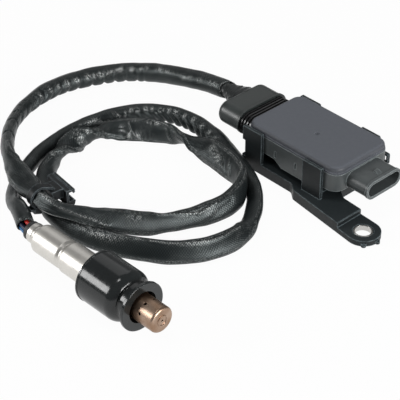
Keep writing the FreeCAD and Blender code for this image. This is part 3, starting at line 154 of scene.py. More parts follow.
# Places on the skin are written as mm along the sleeve and degrees round it, from the side that the camera
# sees.
# Creases: width and height (mm, below 0 for a groove), then the places that each one runs through
CREASES = (
    (0.8, 0.8, ((328, -47), (335, -53), (342, -33), (352, -6), (359, -18), (363, -25))),
    (1.2, -0.5, ((338, -62), (345, -37), (352, -21), (359, -32))),
    (1.1, 0.7, ((260, -15), (267, -32), (277, -11), (291.5, 11), (302.5, 24))),
    (0.8, 0.5, ((261, 52), (272, 56), (286.5, 69), (301.5, 73))),
    (0.8, 0.5, ((260, -62), (270, -48), (277.5, -51))),
    (1.5, -0.5, ((262, 15), (274, 18), (291.5, 35))),
    (1.0, 0.5, ((204, -4), (210, -13), (216.5, -36), (223.5, -54))),
    (1.0, -0.5, ((205, -25), (210, -35), (215.5, -62))),
    (1.7, 0.6, ((607, -19), (621, -14), (631, -26), (646, -55))),
    (0.8, 0.5, ((606, -46), (617, -38), (638, -62))),
    (0.9, 0.75, ((651, -54), (661, -44), (671.5, -41), (687, -34), (697.5, -34), (705.5, -28))),
    (1.2, -0.5, ((661, -63), (671.5, -60), (687, -50), (699.5, -56))),
    (1.2, 0.7, ((386.5, -52), (390.5, -11), (394.5, 10), (400.5, 39))),
    (0.9, 0.5, ((402.5, -49), (406.5, -14), (408.5, 13))),
    (0.9, 0.5, ((411.5, -25), (419.5, -6), (427.5, 17))),
    (0.9, 0.4, ((415.5, -2), (422.5, 14), (428.5, 37))),
    (1.0, -0.5, ((405.5, -44), (411.5, -7), (414.5, 25))),
    (0.8, 0.6, ((456.5, -46), (460, 11))),
    (0.8, 0.6, ((461, 54), (467, 46), (470.5, 30), (474.5, 49), (481, 43))),
    (0.8, 0.7, ((474.5, -66), (477.5, -30), (482, 2), (483, 38))),
    (0.8, 0.6, ((482.5, 17), (483, -18), (484, -56))),
    (1.4, -0.6, ((471.5, 25), (475.5, 1), (477.5, 19))),
    (1.2, -0.5, ((486, -45), (488, -13), (492.5, 17))),
    (0.8, 0.6, ((508, 39), (509, 17), (509.5, -7))),
    (0.7, 0.5, ((511, -48), (514.5, 36))),
    (0.7, 0.5, ((513, -42), (516.5, 37))),
    (0.7, 0.5, ((515.5, -34), (518.5, 33))),
    (1.0, -0.5, ((505, 33), (506.5, -6), (506, -42))),
    (0.9, 0.7, ((878, -20), (884, -8), (890, 9), (898.5, 25))),
    (1.0, -0.6, ((878, -41), (886, -25), (894.5, -3), (902.5, 9))),
    (0.7, 0.6, ((867, 22), (869, -15))),
    (0.6, 0.5, ((871, -31), (874, 30))),
    (0.6, 0.5, ((873, -31), (876, 30))),
    (1.0, 0.6, ((968, 57), (973, 22), (979, -12), (987, -27), (1001.5, -38), (1010.5, -44))),
    (1.2, -0.5, ((975, -32), (983, -52), (996.5, -52))),
    (1.5, -0.5, ((227.5, 44), (236.5, 11), (244.5, -11))),
    (1.8, 0.3, ((30, 8), (40, 14), (47, 26))),
    (1.3, -0.4, ((354, 49), (364, 15), (372, 7))),
)
# Puckers round the sleeve, in runs of one shape: width (mm), the shape as (share of slant, degrees), then for
# each pucker its place along, depth, slant and the degrees where it starts
PUCKERS = (
    (0.9, ((0.0, 2), (0.17, -24), (0.55, -47), (1.0, -75), (1.15, -125)), (
        (57.0, 0.3, 1.6, 17), (62.5, 0.6, 1.6, 13), (70.5, 0.5, 1.6, 8), (77.5, 0.75, 1.6, 5),
        (84.5, 0.75, 1.6, 5), (92.5, 0.6, 1.6, 8), (101.5, 0.55, 2.3, 13), (109.0, 0.55, 2.4, 13),
        (116.0, 0.55, 3.2, 35), (123.0, 0.6, 4.0, 35), (131.0, 1.0, 4.8, 35), (139.5, 1.1, 5.1, 34),
    )),
    (0.9, ((0.0, 2), (0.24, -27), (1.0, -68), (1.15, -125)), (
        (146.0, 0.5, 2.6, 38), (152.5, 0.5, 2.6, 42), (161.0, 0.8, 3.3, 45), (172.0, 0.5, 3.3, 49),
        (189.0, 0.6, 3.3, 48),
    )),
    (1.0, ((0.0, -6), (0.6, -35), (1.0, -65), (1.1, -125)), (
        (783.5, 0.45, -5.0, 28), (790.5, 0.55, -5.0, 26), (797.0, 0.65, -5.0, 25), (803.5, 0.75, -5.0, 23),
        (809.5, 0.9, -5.0, 22), (816.0, 1.0, -5.0, 22), (822.5, 1.0, -5.0, 22), (829.0, 1.0, -5.0, 21),
        (834.5, 1.0, -5.0, 21), (840.5, 0.9, -5.0, 21), (846.5, 0.75, -5.0, 21), (852.5, 0.65, -5.0, 21),
        (858.5, 0.65, -5.0, 21), (865.0, 0.65, -5.0, 22), (871.0, 0.65, -5.0, 23),
    )),
)
# Millimetres that a pucker's first point lies further along for each degree
PUCKER_LEAN = 0.03
# A pucker turns out of sight as a groove that is wider and shallower by these factors
PUCKER_WIDENS = 1.6
PUCKER_FADES = 0.64
# Flecks of painted highlight (glints and lit patches): mm along, degrees round, strength and length (mm)
PAINTED_GLINTS = (
    (5, 3, 0.5, 4), (16, 0, 0.35, 2), (23, 2, 0.4, 2), (27, -2, 0.45, 2), (41, 16, 0.3, 4),
    (46, 23, 0.3, 2), (55, 30, 0.4, 1.3), (59, 21, 0.45, 1.5), (66, 19, 0.9, 1.8), (74, 23, 0.8, 1.8),
    (77, 13, 0.6, 1), (80, 12, 0.6, 1.2), (83, 5, 0.6, 1), (88, 6, 0.9, 2), (92.5, 1, 0.7, 0.8),
    (97, 6, 0.7, 1.6), (105, -3, 1, 1.5), (112.5, 0, 1, 1.3), (119.5, 0, 0.5, 1.2), (126, -1, 0.8, 1.2),
    (135.5, -3, 0.9, 0.8), (417.5, -11, 0.4, 3), (424.5, 6, 0.3, 3), (467, 42, 0.6, 2), (477.5, -20, 0.5, 2),
    (483, -23, 0.8, 1), (487, 9, 0.6, 1.5), (509, 12, 0.8, 0.8), (514.5, -3, 0.6, 2), (538, 23, 0.6, 1),
    (316.5, -26, 0.35, 5), (347, -16, 0.3, 6), (359, 0, 0.3, 4), (267, -30, 0.4, 4), (797, 7, 0.5, 1),
    (804.5, 9, 0.6, 1), (812.5, 13, 0.6, 1.2), (821, 22, 0.8, 1.3), (828, 21, 0.8, 1.3), (835, 30, 0.8, 1.5),
    (839.5, 30, 0.9, 1), (844.5, 24, 0.8, 1.5), (847.5, 13, 0.6, 0.8), (850.5, 27, 0.7, 1),
    (854.5, 24, 1, 1.3), (860, 21, 0.7, 1.5), (864, 22, 0.8, 1.2), (868, 0, 0.8, 0.5), (872.5, -1, 0.6, 1.2),
    (890, 13, 0.5, 4), (903.5, 9, 0.9, 1), (626, -20, 0.35, 8), (678.5, -36, 0.35, 8),
)


# Materials


class Nodes:
    """Short names for building one material's node tree. Inputs take a number, a colour or another output."""

    def __init__(self, name):
        self.material = bpy.data.materials.new(name)
        self.material.use_nodes = True
        self.tree = self.material.node_tree
        self.shader = self.tree.nodes["Principled BSDF"]
        self.place = self.add("ShaderNodeTexCoord").outputs["Object"]

    def add(self, kind, **settings):
        node = self.tree.nodes.new(kind)
        for key, value in settings.items():
            setattr(node, key, value)
        return node

    def feed(self, value, socket):
        """Links an output to a socket, or sets the socket to a number or a colour."""
        if hasattr(value, "is_output"):
            self.tree.links.new(value, socket)
        elif hasattr(value, "__len__"):
            socket.default_value = (*value, 1.0)
        else:
            socket.default_value = value

    def normal(self):
        """The surface's own normal."""
        return self.add("ShaderNodeNewGeometry").outputs["Normal"]

    def noise(self, size_mm, detail=2.0):
        """Noise from 0 to 1 whose features are about size_mm across, one size or one for each axis."""
        sizes = size_mm if hasattr(size_mm, "__len__") else (size_mm,) * 3
        mapping = self.add("ShaderNodeMapping")
        mapping.inputs["Scale"].default_value = [1 / (size * MM) for size in sizes]
        self.feed(self.place, mapping.inputs["Vector"])
        node = self.add("ShaderNodeTexNoise")
        node.inputs["Scale"].default_value = 1.0
        node.inputs["Detail"].default_value = detail
        self.feed(mapping.outputs["Vector"], node.inputs["Vector"])
        return node.outputs["Fac"]

    def math(self, operation, a, b=None, clamp=False):
        node = self.add("ShaderNodeMath", operation=operation, use_clamp=clamp)
        self.feed(a, node.inputs[0])
        if b is not None:
            self.feed(b, node.inputs[1])
        return node.outputs["Value"]

    def remap(self, value, low, high, to_low=0.0, to_high=1.0):
        """The range from low to high, stretched to the range from to_low to to_high and clamped there."""
        node = self.add("ShaderNodeMapRange")
        ends = {"From Min": low, "From Max": high, "To Min": to_low, "To Max": to_high}
        for name, number in ends.items():
            node.inputs[name].default_value = number
        self.feed(value, node.inputs["Value"])
        return node.outputs["Result"]

    def mix(self, factor, a, b):
        node = self.add("ShaderNodeMix", data_type="RGBA")
        for name, value in (("Factor", factor), ("A", a), ("B", b)):
            self.feed(value, node.inputs[name])
        return node.outputs["Result"]

    def bump(self, height, depth_mm, strength, normal=None):
        node = self.add("ShaderNodeBump")
        node.inputs["Strength"].default_value = strength
        node.inputs["Distance"].default_value = depth_mm * MM
        self.feed(height, node.inputs["Height"])
        if normal is not None:
            self.feed(normal, node.inputs["Normal"])
        return node.outputs["Normal"]

    def soft_edges(self, radius_mm):
        """The normal, rounded near sharp edges."""
        node = self.add("ShaderNodeBevel", samples=4)
        node.inputs["Radius"].default_value = radius_mm * MM
        return node.outputs["Normal"]

    def edges(self, reach_mm):
        """1 along sharp edges, from how far a rounded normal turns from the true one."""
        dot = self.add("ShaderNodeVectorMath", operation="DOT_PRODUCT")
        self.feed(self.soft_edges(reach_mm), dot.inputs[0])
        self.feed(self.normal(), dot.inputs[1])
        return self.remap(dot.outputs["Value"], 0.995, 0.92)

    def facing_up(self):
        """1 on faces that look up."""
        split = self.add("ShaderNodeSeparateXYZ")
        self.feed(self.normal(), split.inputs["Vector"])
        return self.remap(split.outputs["Z"], 0.6, 0.95)

    def finish(self, color, rough, normal, **numbers):
        """The material, with these on its shader and each further number on the socket of that name."""
        for name, value in (("Base Color", color), ("Roughness", rough), ("Normal", normal)):
            self.feed(value, self.shader.inputs[name])
        for name, value in numbers.items():
            self.shader.inputs[name.replace("_", " ")].default_value = value
        return self.material


def shade(color, factor):
    """A colour made lighter or darker, each channel up to 1."""
    return tuple(min(1.0, channel * factor) for channel in color)


def moulded(name, color, rough=0.5, grain=0.25, depth=0.03, edge=0.25, specular=0.4, highlight_and_rub=1.0, painted_top_light=1.0):
    """Moulded plastic: eroded grain, flow marks, rounded edges lightened by a painted highlight, and tops
    lightened by painted light.

    The grain's size and depth and the edge's radius are in millimetres. The last two factors say how much
    lighter the edges (painted highlight, partly wear) and the tops (painted light) are.
    """
    n = Nodes(name)
    fine = n.noise(grain, detail=3.0)
    flow = n.noise((16, 9, 12), detail=3.0)
    scuffs = n.noise(2.4, detail=4.0)
    flow_tone = n.mix(n.remap(flow, 0.35, 0.65), shade(color, 0.86), shade(color, 1.12))
    speck_tone = n.mix(n.remap(fine, 0.3, 0.7), shade(color, 0.8), shade(color, 1.2))
    tone = n.mix(0.35, flow_tone, speck_tone)
    # Painted light: faces that look up are made lighter than the sides, as the lamps light them.
    if painted_top_light != 1.0:
        tone = n.mix(n.facing_up(), tone, shade(color, painted_top_light))
    # Painted highlight, partly wear: sharp edges are made lighter where the scuffs fall.
    if highlight_and_rub != 1.0:
        edge_highlight_and_rub = n.math("MULTIPLY", n.edges(reach_mm=0.9), n.remap(scuffs, 0.3, 0.6, 0.4, 1.0))
        tone = n.mix(edge_highlight_and_rub, tone, shade(color, highlight_and_rub))
    gloss = n.remap(scuffs, 0.3, 0.75, rough + 0.06, rough - 0.06)
    normal = n.bump(fine, depth, 0.6, n.soft_edges(edge))
    return n.finish(tone, gloss, normal, Specular_IOR_Level=specular)


def rubber(name, color, rough=0.5, specular=0.45):
    """Satin moulded rubber: smooth skin with faint bloom and fine pores."""
    n = Nodes(name)
    bloom = n.noise(7.0, detail=4.0)
    tone = n.mix(n.remap(bloom, 0.3, 0.7), shade(color, 0.85), shade(color, 1.2))
    gloss = n.remap(bloom, 0.3, 0.7, rough - 0.05, rough + 0.07)
    normal = n.bump(n.noise(0.5), 0.02, 0.5, n.soft_edges(0.4))
    return n.finish(tone, gloss, normal, Specular_IOR_Level=specular)


def steel(name, color, rough=0.36, tint=None):
    """Drawn or turned steel: faint hair lines round its axis, heat colour and handling marks."""
    n = Nodes(name)
    hair = n.noise((0.16, 7.0, 7.0), detail=3.0)
    cloud = n.noise(6.0, detail=3.0)
    tone = n.mix(n.remap(cloud, 0.3, 0.7), shade(color, 0.94), shade(color, 1.04))
    if tint is not None:
        tone = n.mix(n.remap(n.noise(9.0, detail=3.0), 0.35, 0.6), tone, tint)
    lines = n.remap(hair, 0.3, 0.7, rough - 0.02, rough + 0.02)
    gloss = n.math("ADD", lines, n.remap(cloud, 0.4, 0.8, 0.0, 0.05))
    normal = n.bump(n.noise(3.0), 0.02, 0.4, n.soft_edges(0.15))
    return n.finish(tone, gloss, normal, Metallic=1.0)


def woven(name, color, pitch, highlight_and_dust_color):
    """Coated braid: crossed threads along the mesh's length and girth, which its UV gives in millimetres."""
    n = Nodes(name)
    split = n.add("ShaderNodeSeparateXYZ")
    n.feed(n.add("ShaderNodeUVMap", uv_map="girth").outputs["UV"], split.inputs["Vector"])
    turn = 2 * math.pi / pitch
    threads = [n.math("SINE", n.math("MULTIPLY", split.outputs[axis], turn)) for axis in ("X", "Y")]
    weave = n.remap(n.math("MULTIPLY", *threads), -1.0, 1.0)
    cloud = n.noise(11.0, detail=4.0)
    tone = n.mix(n.remap(weave, 0.25, 0.9), shade(color, 0.2), shade(color, 2.6))
    # Painted highlights and wear: the skin's attribute lightens the colour in a speckle, over a faint dust.
    painted_light_and_wear = n.add("ShaderNodeAttribute", attribute_name="painted_light_and_wear").outputs["Fac"]
    painted_light_and_wear = n.math("ADD", painted_light_and_wear, n.remap(cloud, 0.46, 0.62, 0.0, 0.07))
    dust_and_glint_speckle = n.math("MULTIPLY", n.remap(n.noise(1.1, detail=3.0), 0.42, 0.56), n.remap(weave, 0.2, 0.7))
    tone = n.mix(n.math("MULTIPLY", painted_light_and_wear, dust_and_glint_speckle, clamp=True), tone, highlight_and_dust_color)
    fuzz = n.noise(0.5, detail=3.0)
    height = n.math("ADD", n.math("MULTIPLY", weave, 0.9), n.math("MULTIPLY", fuzz, 0.3))
    gloss = n.remap(cloud, 0.3, 0.7, 0.29, 0.38)
    normal = n.bump(height, 0.2, 0.5)
    return n.finish(tone, gloss, normal, Specular_IOR_Level=0.38, Specular_Tint=(0.9, 1.0, 1.0, 1.0))


# Top and edge factors paint light on the tops and highlights (partly wear) on the edges.
MOULDED = {
    "lid_plastic": dict(
        color=(0.056, 0.0605, 0.07), grain=0.3, depth=0.035, edge=0.3, specular=0.36,
        highlight_and_rub=2.1, painted_top_light=2.0,
    ),
    "housing_plastic": dict(
        color=(0.05, 0.057, 0.058), rough=0.4, grain=0.3, edge=0.3, specular=0.5,
        highlight_and_rub=5.0, painted_top_light=1.45,
    ),
    "bracket_plastic": dict(
        color=(0.0105, 0.013, 0.014), rough=0.42, grain=0.35, edge=0.3, specular=0.22,
        highlight_and_rub=14.0, painted_top_light=2.2,
    ),
    "tie_plastic": dict(
        color=(0.011, 0.013, 0.014), rough=0.42, grain=0.3, depth=0.02, edge=0.2, specular=0.22,
        highlight_and_rub=14.0,
    ),
    "cap_plastic": dict(
        color=(0.011, 0.0135, 0.014), rough=0.15, grain=0.8, depth=0.002, edge=0.2, specular=0.5,
    ),
    "board_green": dict(color=(0.03, 0.16, 0.06), rough=0.35, grain=0.5),
    "chip_black": dict(color=(0.02, 0.02, 0.02)),
    "ceramic_white": dict(color=(0.8, 0.79, 0.75), rough=0.4, grain=0.2),
    "talc_grey": dict(color=(0.66, 0.65, 0.62), rough=0.8, grain=0.15, depth=0.06),
}
RUBBER = {
    "boot_rubber": dict(color=(0.026, 0.032, 0.031), rough=0.37, specular=0.6),
    "seal_rubber": dict(color=(0.012, 0.012, 0.013), rough=0.22, specular=0.5),
    "tape": dict(color=(0.016, 0.019, 0.019), rough=0.36),
    "grommet_rubber": dict(color=(0.03, 0.03, 0.03)),
    "wire_red": dict(color=(0.5, 0.02, 0.012), rough=0.35),
    "wire_blue": dict(color=(0.025, 0.15, 0.36), rough=0.35),
    "wire_black": dict(color=(0.012, 0.012, 0.012), rough=0.35),
    "wire_navy": dict(color=(0.01, 0.014, 0.04), rough=0.35),
    "wire_white": dict(color=(0.75, 0.72, 0.64), rough=0.35),
    "wire_grey": dict(color=(0.25, 0.25, 0.25), rough=0.4),
}
STEEL = {
    "probe_steel": dict(color=(0.7, 0.68, 0.64), rough=0.37),
    "tip_steel": dict(color=(0.43, 0.315, 0.24), tint=(0.3, 0.19, 0.125)),
    "screw_steel": dict(color=(0.55, 0.54, 0.52), rough=0.28),
    "can_metal": dict(color=(0.7, 0.7, 0.7), rough=0.3),
    "pin_metal": dict(color=(0.72, 0.68, 0.58), rough=0.3),
}
# The pale colour is the painted highlight on glints, crests and edge lines, and also dust.
WOVEN = {"sleeve_weave": dict(color=(0.007, 0.009, 0.0095), pitch=1.38, highlight_and_dust_color=(0.62, 0.64, 0.63))}

PAINT = {
    name: build(name, **look)
    for build, looks in ((moulded, MOULDED), (rubber, RUBBER), (steel, STEEL), (woven, WOVEN))
    for name, look in looks.items()
}
for part in frame["record"]["subparts"]:
    mesh = frame["nodes"][part["node"]].data
    mesh.materials.clear()
    mesh.materials.append(PAINT[part["material_slot"]])


# Sleeved cable


def ring_angles(count):
    """Angles of the points round a ring, without the last, which is the first again."""
    return np.linspace(0, 2 * math.pi, count, endpoint=False)


def bell(value, middle, width):
    """Smooth bell of height 1."""
    return np.exp(-(((value - middle) / width) ** 2))


def route_points():
    """Points along the smooth line that the route's points control, in millimetres."""
    curve = bpy.data.curves.new("sleeve_line", "CURVE")
    curve.dimensions = "3D"
    spline = curve.splines.new("NURBS")
    spline.points.add(len(ROUTE) - 1)
    for point, place in zip(spline.points, ROUTE):
        point.co = (*[c * MM for c in place], 1.0)
    spline.order_u = 3
    spline.use_endpoint_u = True
    spline.resolution_u = STEPS
    holder = bpy.data.objects.new("sleeve_line", curve)
    bpy.context.scene.collection.objects.link(holder)
    bpy.context.view_layer.update()
    line = bpy.data.meshes.new_from_object(holder)
    points = np.array([v.co for v in line.vertices]) / MM
    bpy.data.objects.remove(holder)
    bpy.data.meshes.remove(line)
    return points


def route_stations(count):
    """Place of each point of the line, counted in route points."""
    last = len(ROUTE) - 1
    station = np.linspace(-0.5, last - 0.5, count)
    catch_up = 0.5 * np.clip(2 * (station - last + 1.5), 0, 1)
    return np.clip(station + catch_up, 0, last)


def along_route(table, station):
    """Columns of a table, eased between its route points, one value for each ring."""
    keys = np.array([row[0] for row in table])
    index = np.clip(np.searchsorted(keys, station, side="right") - 1, 0, len(keys) - 2)
    share = np.clip((station - keys[index]) / (keys[index + 1] - keys[index]), 0, 1)
    share = share * share * (3 - 2 * share)
    columns = np.array([row[1:] for row in table]).T
    return [(c[index] * (1 - share) + c[index + 1] * share)[:, None] for c in columns]


def sleeve_frames(points):
    """Length of the line so far, and the ways ahead, left and up, at each of its points."""
    gaps = np.linalg.norm(np.diff(points, axis=0), axis=1)
    length = np.concatenate([[0.0], np.cumsum(gaps)])
    ahead = np.gradient(points, length, axis=0)
    ahead /= np.linalg.norm(ahead, axis=1)[:, None]
    left = np.cross((0, 0, 1), ahead)
    left /= np.linalg.norm(left, axis=1)[:, None]
    return length, ahead, left, np.cross(ahead, left)


def seen_angle(points, left, up):
    """Angle round each ring, from its left, at which the skin faces the camera."""
    way = np.array(CAMERA_PLACE) / MM - points
    return np.arctan2(np.sum(way * up, axis=1), np.sum(way * left, axis=1))[:, None]


def swells(s, angle, rng, length, waves=6):
    """Slow swell over the sleeve's skin, about -1 to 1."""
    total = np.zeros(np.broadcast(s, angle).shape)
    for _ in range(waves):
        turns = rng.integers(0, 4)
        pitch = length * rng.uniform(0.6, 1.8)
        total += np.sin(s * 2 * math.pi / pitch + turns * angle + rng.uniform(0, 2 * math.pi))
    return total / waves ** 0.5 / 1.2


def pucker_creases():
    """Each pucker as two grooves: its whole line, and a broader one where it turns out of sight."""
    rows = []
    for wide, shape, puckers in PUCKERS:
        for along, depth, slant, first in puckers:
            line = [(along + PUCKER_LEAN * first, first)]
            line += [(along + share * slant, degrees) for share, degrees in shape]
            rows.append((wide, -depth, line))
            rows.append((wide * PUCKER_WIDENS, -depth * PUCKER_FADES, line[-3:]))
    return rows


def crease_heights(length, seen):
    """Height of all creases over the skin (mm), and the painted highlight, partly wear, on their crests."""
    total = np.zeros(seen.shape)
    highlight_and_rub = np.zeros(seen.shape)
    around = GIRTH_RADIUS * seen
    for wide, high, places in (*CREASES, *pucker_creases()):
        ends = np.array([(s, GIRTH_RADIUS * math.radians(degrees)) for s, degrees in places])
        reach = 4 * wide
        near = (length > ends[:, 0].min() - reach) & (length < ends[:, 0].max() + reach)
        s = length[near, None]
        gap = np.full((near.sum(), seen.shape[1]), np.inf)
        for one, two in zip(ends, ends[1:]):
            run = two - one
            part = np.clip(((s - one[0]) * run[0] + (around[near] - one[1]) * run[1]) / (run @ run), 0, 1)
            gap = np.minimum(gap, np.hypot(s - one[0] - part * run[0], around[near] - one[1] - part * run[1]))
        total[near] += high * bell(gap, 0, wide)
        # Painted highlight, partly wear, on the crests of raised creases.
        if high > 0:
            highlight_and_rub[near] = np.maximum(highlight_and_rub[near], high * bell(gap, 0, 0.6 * wide))
    return total, highlight_and_rub


def glint_lightening(length, seen):
    """How much the flecks' painted highlight lightens the skin, 0 to 1."""
    total = np.zeros(seen.shape)
    for s, degrees, strength, long in PAINTED_GLINTS:
        away = GIRTH_RADIUS * (seen - math.radians(degrees))
        total += strength * bell(length[:, None], s, long) * bell(away, 0, GLINT_WIDTH)
    return np.clip(total, 0, 1)


def sleeve_section(angle, aside, wide, tall, crease, flat):
    """The flattened section: an oval, with hemmed edges where creased and flatter faces where flat."""
    cosine, sine = np.cos(angle), np.sin(angle)
    x = wide * np.sign(cosine) * np.abs(cosine) ** (0.92 - 0.12 * crease)
    z = tall * np.sign(sine) * np.abs(sine) ** (0.92 + 0.45 * crease - 0.75 * flat)
    hem = crease * HEM * (bell(aside, 0, 0.13) - 0.6 * bell(aside, 0.56, 0.1))
    return x + hem * np.sign(cosine), z + hem * np.sign(sine) * 0.8


def lay_on_ground(rings):
    """Lifts the rings that would sink into the ground, softly along the line, and rests the skin there."""
    sunk = np.clip(FLOOR_GAP - rings[..., 2].min(axis=1), 0, None)
    spread = np.hanning(4 * STEPS + 1)
    lift = np.convolve(np.pad(sunk, 2 * STEPS, mode="edge"), spread / spread.sum(), mode="valid")
    rings[..., 2] = np.maximum(rings[..., 2] + 0.8 * lift[:, None], FLOOR_GAP)


def build_sleeve():
    """The line's points, the skin's rings, and the length, painted highlights and wear that go with them."""
    points = route_points()
    length, ahead, left, up = sleeve_frames(points)
    wide, tall, roll, crease, flat = along_route(SECTION, route_stations(len(points)))
    roll = np.radians(roll)
    angle = ring_angles(AROUND)[None, :]
    aside = np.abs((angle + math.pi / 2) % math.pi - math.pi / 2)
    world = angle + roll
    seen = (world - seen_angle(points, left, up) + math.pi) % (2 * math.pi) - math.pi

    grow, crest_highlights = crease_heights(length, seen)
    rng = np.random.default_rng(11)
    for height, size in SWELLS:
        grow += height * swells(length[:, None], world, rng, size)
    # Painted highlights on the skin: lines beside creased edges, crests and flecks, all lightening its
    # colour.
    edge_highlight_lines = sum(strength * bell(aside, middle, width) for middle, width, strength in EDGE_HIGHLIGHT_LINES)
    highlights_and_wear = GLINT_STRENGTH * glint_lightening(length, seen) + CREST_HIGHLIGHT_AND_WEAR * crest_highlights + HEM_HIGHLIGHT * crease * edge_highlight_lines

    x, z = sleeve_section(angle, aside, wide, tall, crease, flat)
    swollen = 1.0 + grow / np.hypot(x, z)
    across = (x * np.cos(roll) - z * np.sin(roll)) * swollen
    above = (x * np.sin(roll) + z * np.cos(roll)) * swollen
    rings = points[:, None, :] + left[:, None, :] * across[..., None] + up[:, None, :] * above[..., None]
    lay_on_ground(rings)
    return points, *sleeve_mouths(rings, length, np.clip(highlights_and_wear, 0, 1), ahead, points)


def sleeve_mouths(rings, length, highlights_and_wear, ahead, points):
    """Ragged mouths: the end rings run out unevenly and fold back inside as a thin lining."""
    rng = np.random.default_rng(5)
    around = ring_angles(AROUND)
    frayed = 1.3 * bell(around, 2.5, 0.3) - 1.2 * np.sin(2 * around) + rng.uniform(-0.5, 0.5, AROUND)
    oblique = 2.2 + 1.7 * np.sin(around + 0.4) + 0.25 * rng.uniform(-1, 1, AROUND)
    first_spokes = rings[0] - points[0]
    start = points[0] + 0.93 * first_spokes - ahead[0] * (MOUTH_RUN + frayed)[:, None]
    stop = rings[-1] + ahead[-1] * oblique[:, None]
    lining_start = start - 0.06 * first_spokes
    lining_stop = points[-1] + 0.86 * (stop - points[-1]) + ahead[-1] * 0.2
    deep_start = lining_start + ahead[0] * LINING_START_DEPTH
    deep_stop = lining_stop - ahead[-1] * LINING_STOP_DEPTH
    rings = np.concatenate([[deep_start, lining_start, start], rings, [stop, lining_stop, deep_stop]])
    length = np.concatenate([MOUTH_LENGTHS_BEFORE, length, length[-1] + np.array(MOUTH_LENGTHS_BEYOND)])
    mouth_wear = np.repeat([[0.0], [0.2], [0.4]], AROUND, axis=1)
    return rings, length, np.concatenate([mouth_wear, highlights_and_wear, mouth_wear[::-1] * 0.5])


def tube_mesh(name, rings, length, painted_light_and_wear, girth):
    """Mesh over rings of points (mm), with its wear and painted light, and its length and girth as a UV."""
    count, around = rings.shape[:2]
    row = np.repeat(np.arange(count - 1), around)
    column = np.tile(np.arange(around), count - 1)
    after = (column + 1) % around
    corners = ((row, column), (row + 1, column), (row + 1, after), (row, after))
    faces = np.stack([r * around + c for r, c in corners], 1)
    mesh = bpy.data.meshes.new(name)
    mesh.from_pydata((rings.reshape(-1, 3) * MM).tolist(), [], faces.tolist())
    unrolled = ((row, column), (row + 1, column), (row + 1, column + 1), (row, column + 1))
    uv = np.stack([np.stack([length[r], c * girth / around], 1) for r, c in unrolled], 1)
    mesh.uv_layers.new(name="girth").data.foreach_set("uv", uv.reshape(-1))
    attribute = mesh.attributes.new("painted_light_and_wear", "FLOAT", "POINT")
    attribute.data.foreach_set("value", painted_light_and_wear.reshape(-1).astype(np.float32))
    mesh.polygons.foreach_set("use_smooth", [True] * len(faces))
    mesh.update()
    return mesh


def build_neck():
    """Taped cable that flares from the sleeve's mouth to the boot."""
    centre = ROUTE[0]
    first = centre[0] - NECK_IN_SLEEVE
    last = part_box("cable_boot")[0][0] / MM + NECK_IN_BOOT
    share = np.linspace(0, 1, NECK_RINGS)[:, None]
    angle = ring_angles(NECK_AROUND)[None, :]
    run = share * (last - first)
    flare = np.clip(share * 1.35 - 0.35, 0, 1) ** 1.35
    turn = run / TAPE_PITCH - angle / (2 * math.pi) + 0.1 * np.sin(3 * angle + 1.0)
    lap = TAPE_LAP * (turn % 1.0) ** 2 + TAPE_WRINKLE * np.sin(4 * angle + 7 * share) * (1 - flare)
    wide = NECK_RADIUS + NECK_SPREAD * flare + lap
    tall = NECK_RADIUS + NECK_RISE * flare + lap
    x = first + run + 0 * angle
    rings = np.stack([x, centre[1] + wide * np.cos(angle), centre[2] + tall * np.sin(angle)], axis=-1)
    return tube_mesh("wrapped_neck", rings, run[:, 0], np.zeros(rings.shape[:2]), NECK_GIRTH)


def add_piece(name, mesh, slot, body="sensor"):
    """Shows a mesh as a piece that rides on a body, in the finish of a material slot."""
    piece = bpy.data.objects.new(name, mesh)
    bpy.context.scene.collection.objects.link(piece)
    mesh.materials.append(PAINT[slot])
    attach(piece, body)
    return piece


neck = add_piece("wrapped_neck", build_neck(), "tape")
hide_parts("boot_wrap")
line, rings, length, painted_light_and_wear = build_sleeve()
skin = tube_mesh("woven_sleeve", rings, length, painted_light_and_wear, SLEEVE_GIRTH)
sleeve = add_piece("woven_sleeve", skin, "sleeve_weave")
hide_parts("cable_sleeve")


# Ground, light and camera


def seen_rays(nodes, links):
    """1 for camera, glossy and transmission rays."""
    path = nodes.new("ShaderNodeLightPath")
    first = nodes.new("ShaderNodeMath")
    second = nodes.new("ShaderNodeMath")
    first.operation = second.operation = "MAXIMUM"
    links.new(path.outputs["Is Camera Ray"], first.inputs[0])
    links.new(path.outputs["Is Glossy Ray"], first.inputs[1])
    links.new(first.outputs["Value"], second.inputs[0])
    links.new(path.outputs["Is Transmission Ray"], second.inputs[1])
    return second.outputs["Value"]


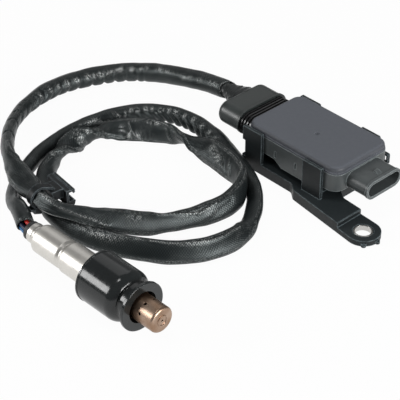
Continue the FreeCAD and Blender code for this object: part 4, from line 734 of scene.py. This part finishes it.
def floor_material():
    """Pale paper for the light that bounces, and nearly all white glow where it is seen."""
    material = bpy.data.materials.new("floor_white")
    material.use_nodes = True
    nodes, links = material.node_tree.nodes, material.node_tree.links
    nodes.clear()
    out = nodes.new("ShaderNodeOutputMaterial")
    paper = nodes.new("ShaderNodeBsdfDiffuse")
    paper.inputs["Color"].default_value = (FLOOR_GREY, FLOOR_GREY, FLOOR_GREY, 1.0)
    glow = nodes.new("ShaderNodeEmission")
    glow.inputs["Strength"].default_value = 1.0
    share = nodes.new("ShaderNodeMath")
    share.operation = "MULTIPLY"
    share.inputs[1].default_value = FLOOR_GLOW
    blend = nodes.new("ShaderNodeMixShader")
    links.new(seen_rays(nodes, links), share.inputs[0])
    links.new(share.outputs["Value"], blend.inputs["Fac"])
    links.new(paper.outputs["BSDF"], blend.inputs[1])
    links.new(glow.outputs["Emission"], blend.inputs[2])
    links.new(blend.outputs["Shader"], out.inputs["Surface"])
    return material


def build_floor():
    """A wide white ground, which isn't part of the object."""
    mesh = bpy.data.meshes.new("floor")
    corners = [(x * FLOOR_HALF, y * FLOOR_HALF, 0) for x, y in ((-1, -1), (1, -1), (1, 1), (-1, 1))]
    mesh.from_pydata(corners, [], [(0, 1, 2, 3)])
    mesh.materials.append(floor_material())
    floor = bpy.data.objects.new("floor", mesh)
    bpy.context.scene.collection.objects.link(floor)


def build_world():
    """Faint even light from all round."""
    world = bpy.data.worlds.new("studio")
    bpy.context.scene.world = world
    world.use_nodes = True
    background = world.node_tree.nodes["Background"]
    background.inputs["Color"].default_value = (1.0, 1.0, 1.0, 1.0)
    background.inputs["Strength"].default_value = WORLD_LIGHT


def softbox(name, direction, distance, size, radiance):
    """Rectangular lamp of a given brightness, facing the object from a direction."""
    lamp = bpy.data.lights.new(name, "AREA")
    lamp.shape = "RECTANGLE"
    lamp.size, lamp.size_y = size
    lamp.energy = radiance * math.pi * size[0] * size[1]
    holder = bpy.data.objects.new(name, lamp)
    bpy.context.scene.collection.objects.link(holder)
    way = Vector(direction).normalized()
    holder.location = AIM + way * distance
    holder.rotation_euler = way.to_track_quat("Z", "Y").to_euler()


def build_camera():
    """The camera, at the angle that the object was photographed from."""
    camera = bpy.data.cameras.new("camera")
    camera.lens = CAMERA_LENS_MM
    camera.sensor_width = SENSOR_WIDTH_MM
    holder = bpy.data.objects.new("camera", camera)
    bpy.context.scene.collection.objects.link(holder)
    holder.location = CAMERA_PLACE
    holder.rotation_euler = (math.radians(90 - CAMERA_DOWN), 0.0, math.radians(CAMERA_ROUND))
    bpy.context.scene.camera = holder


build_floor()
build_world()
for name, settings in SOFTBOXES.items():
    softbox(name, *settings)
build_camera()
bpy.context.scene.view_settings.view_transform = "Standard"

bpy.context.view_layer.update()
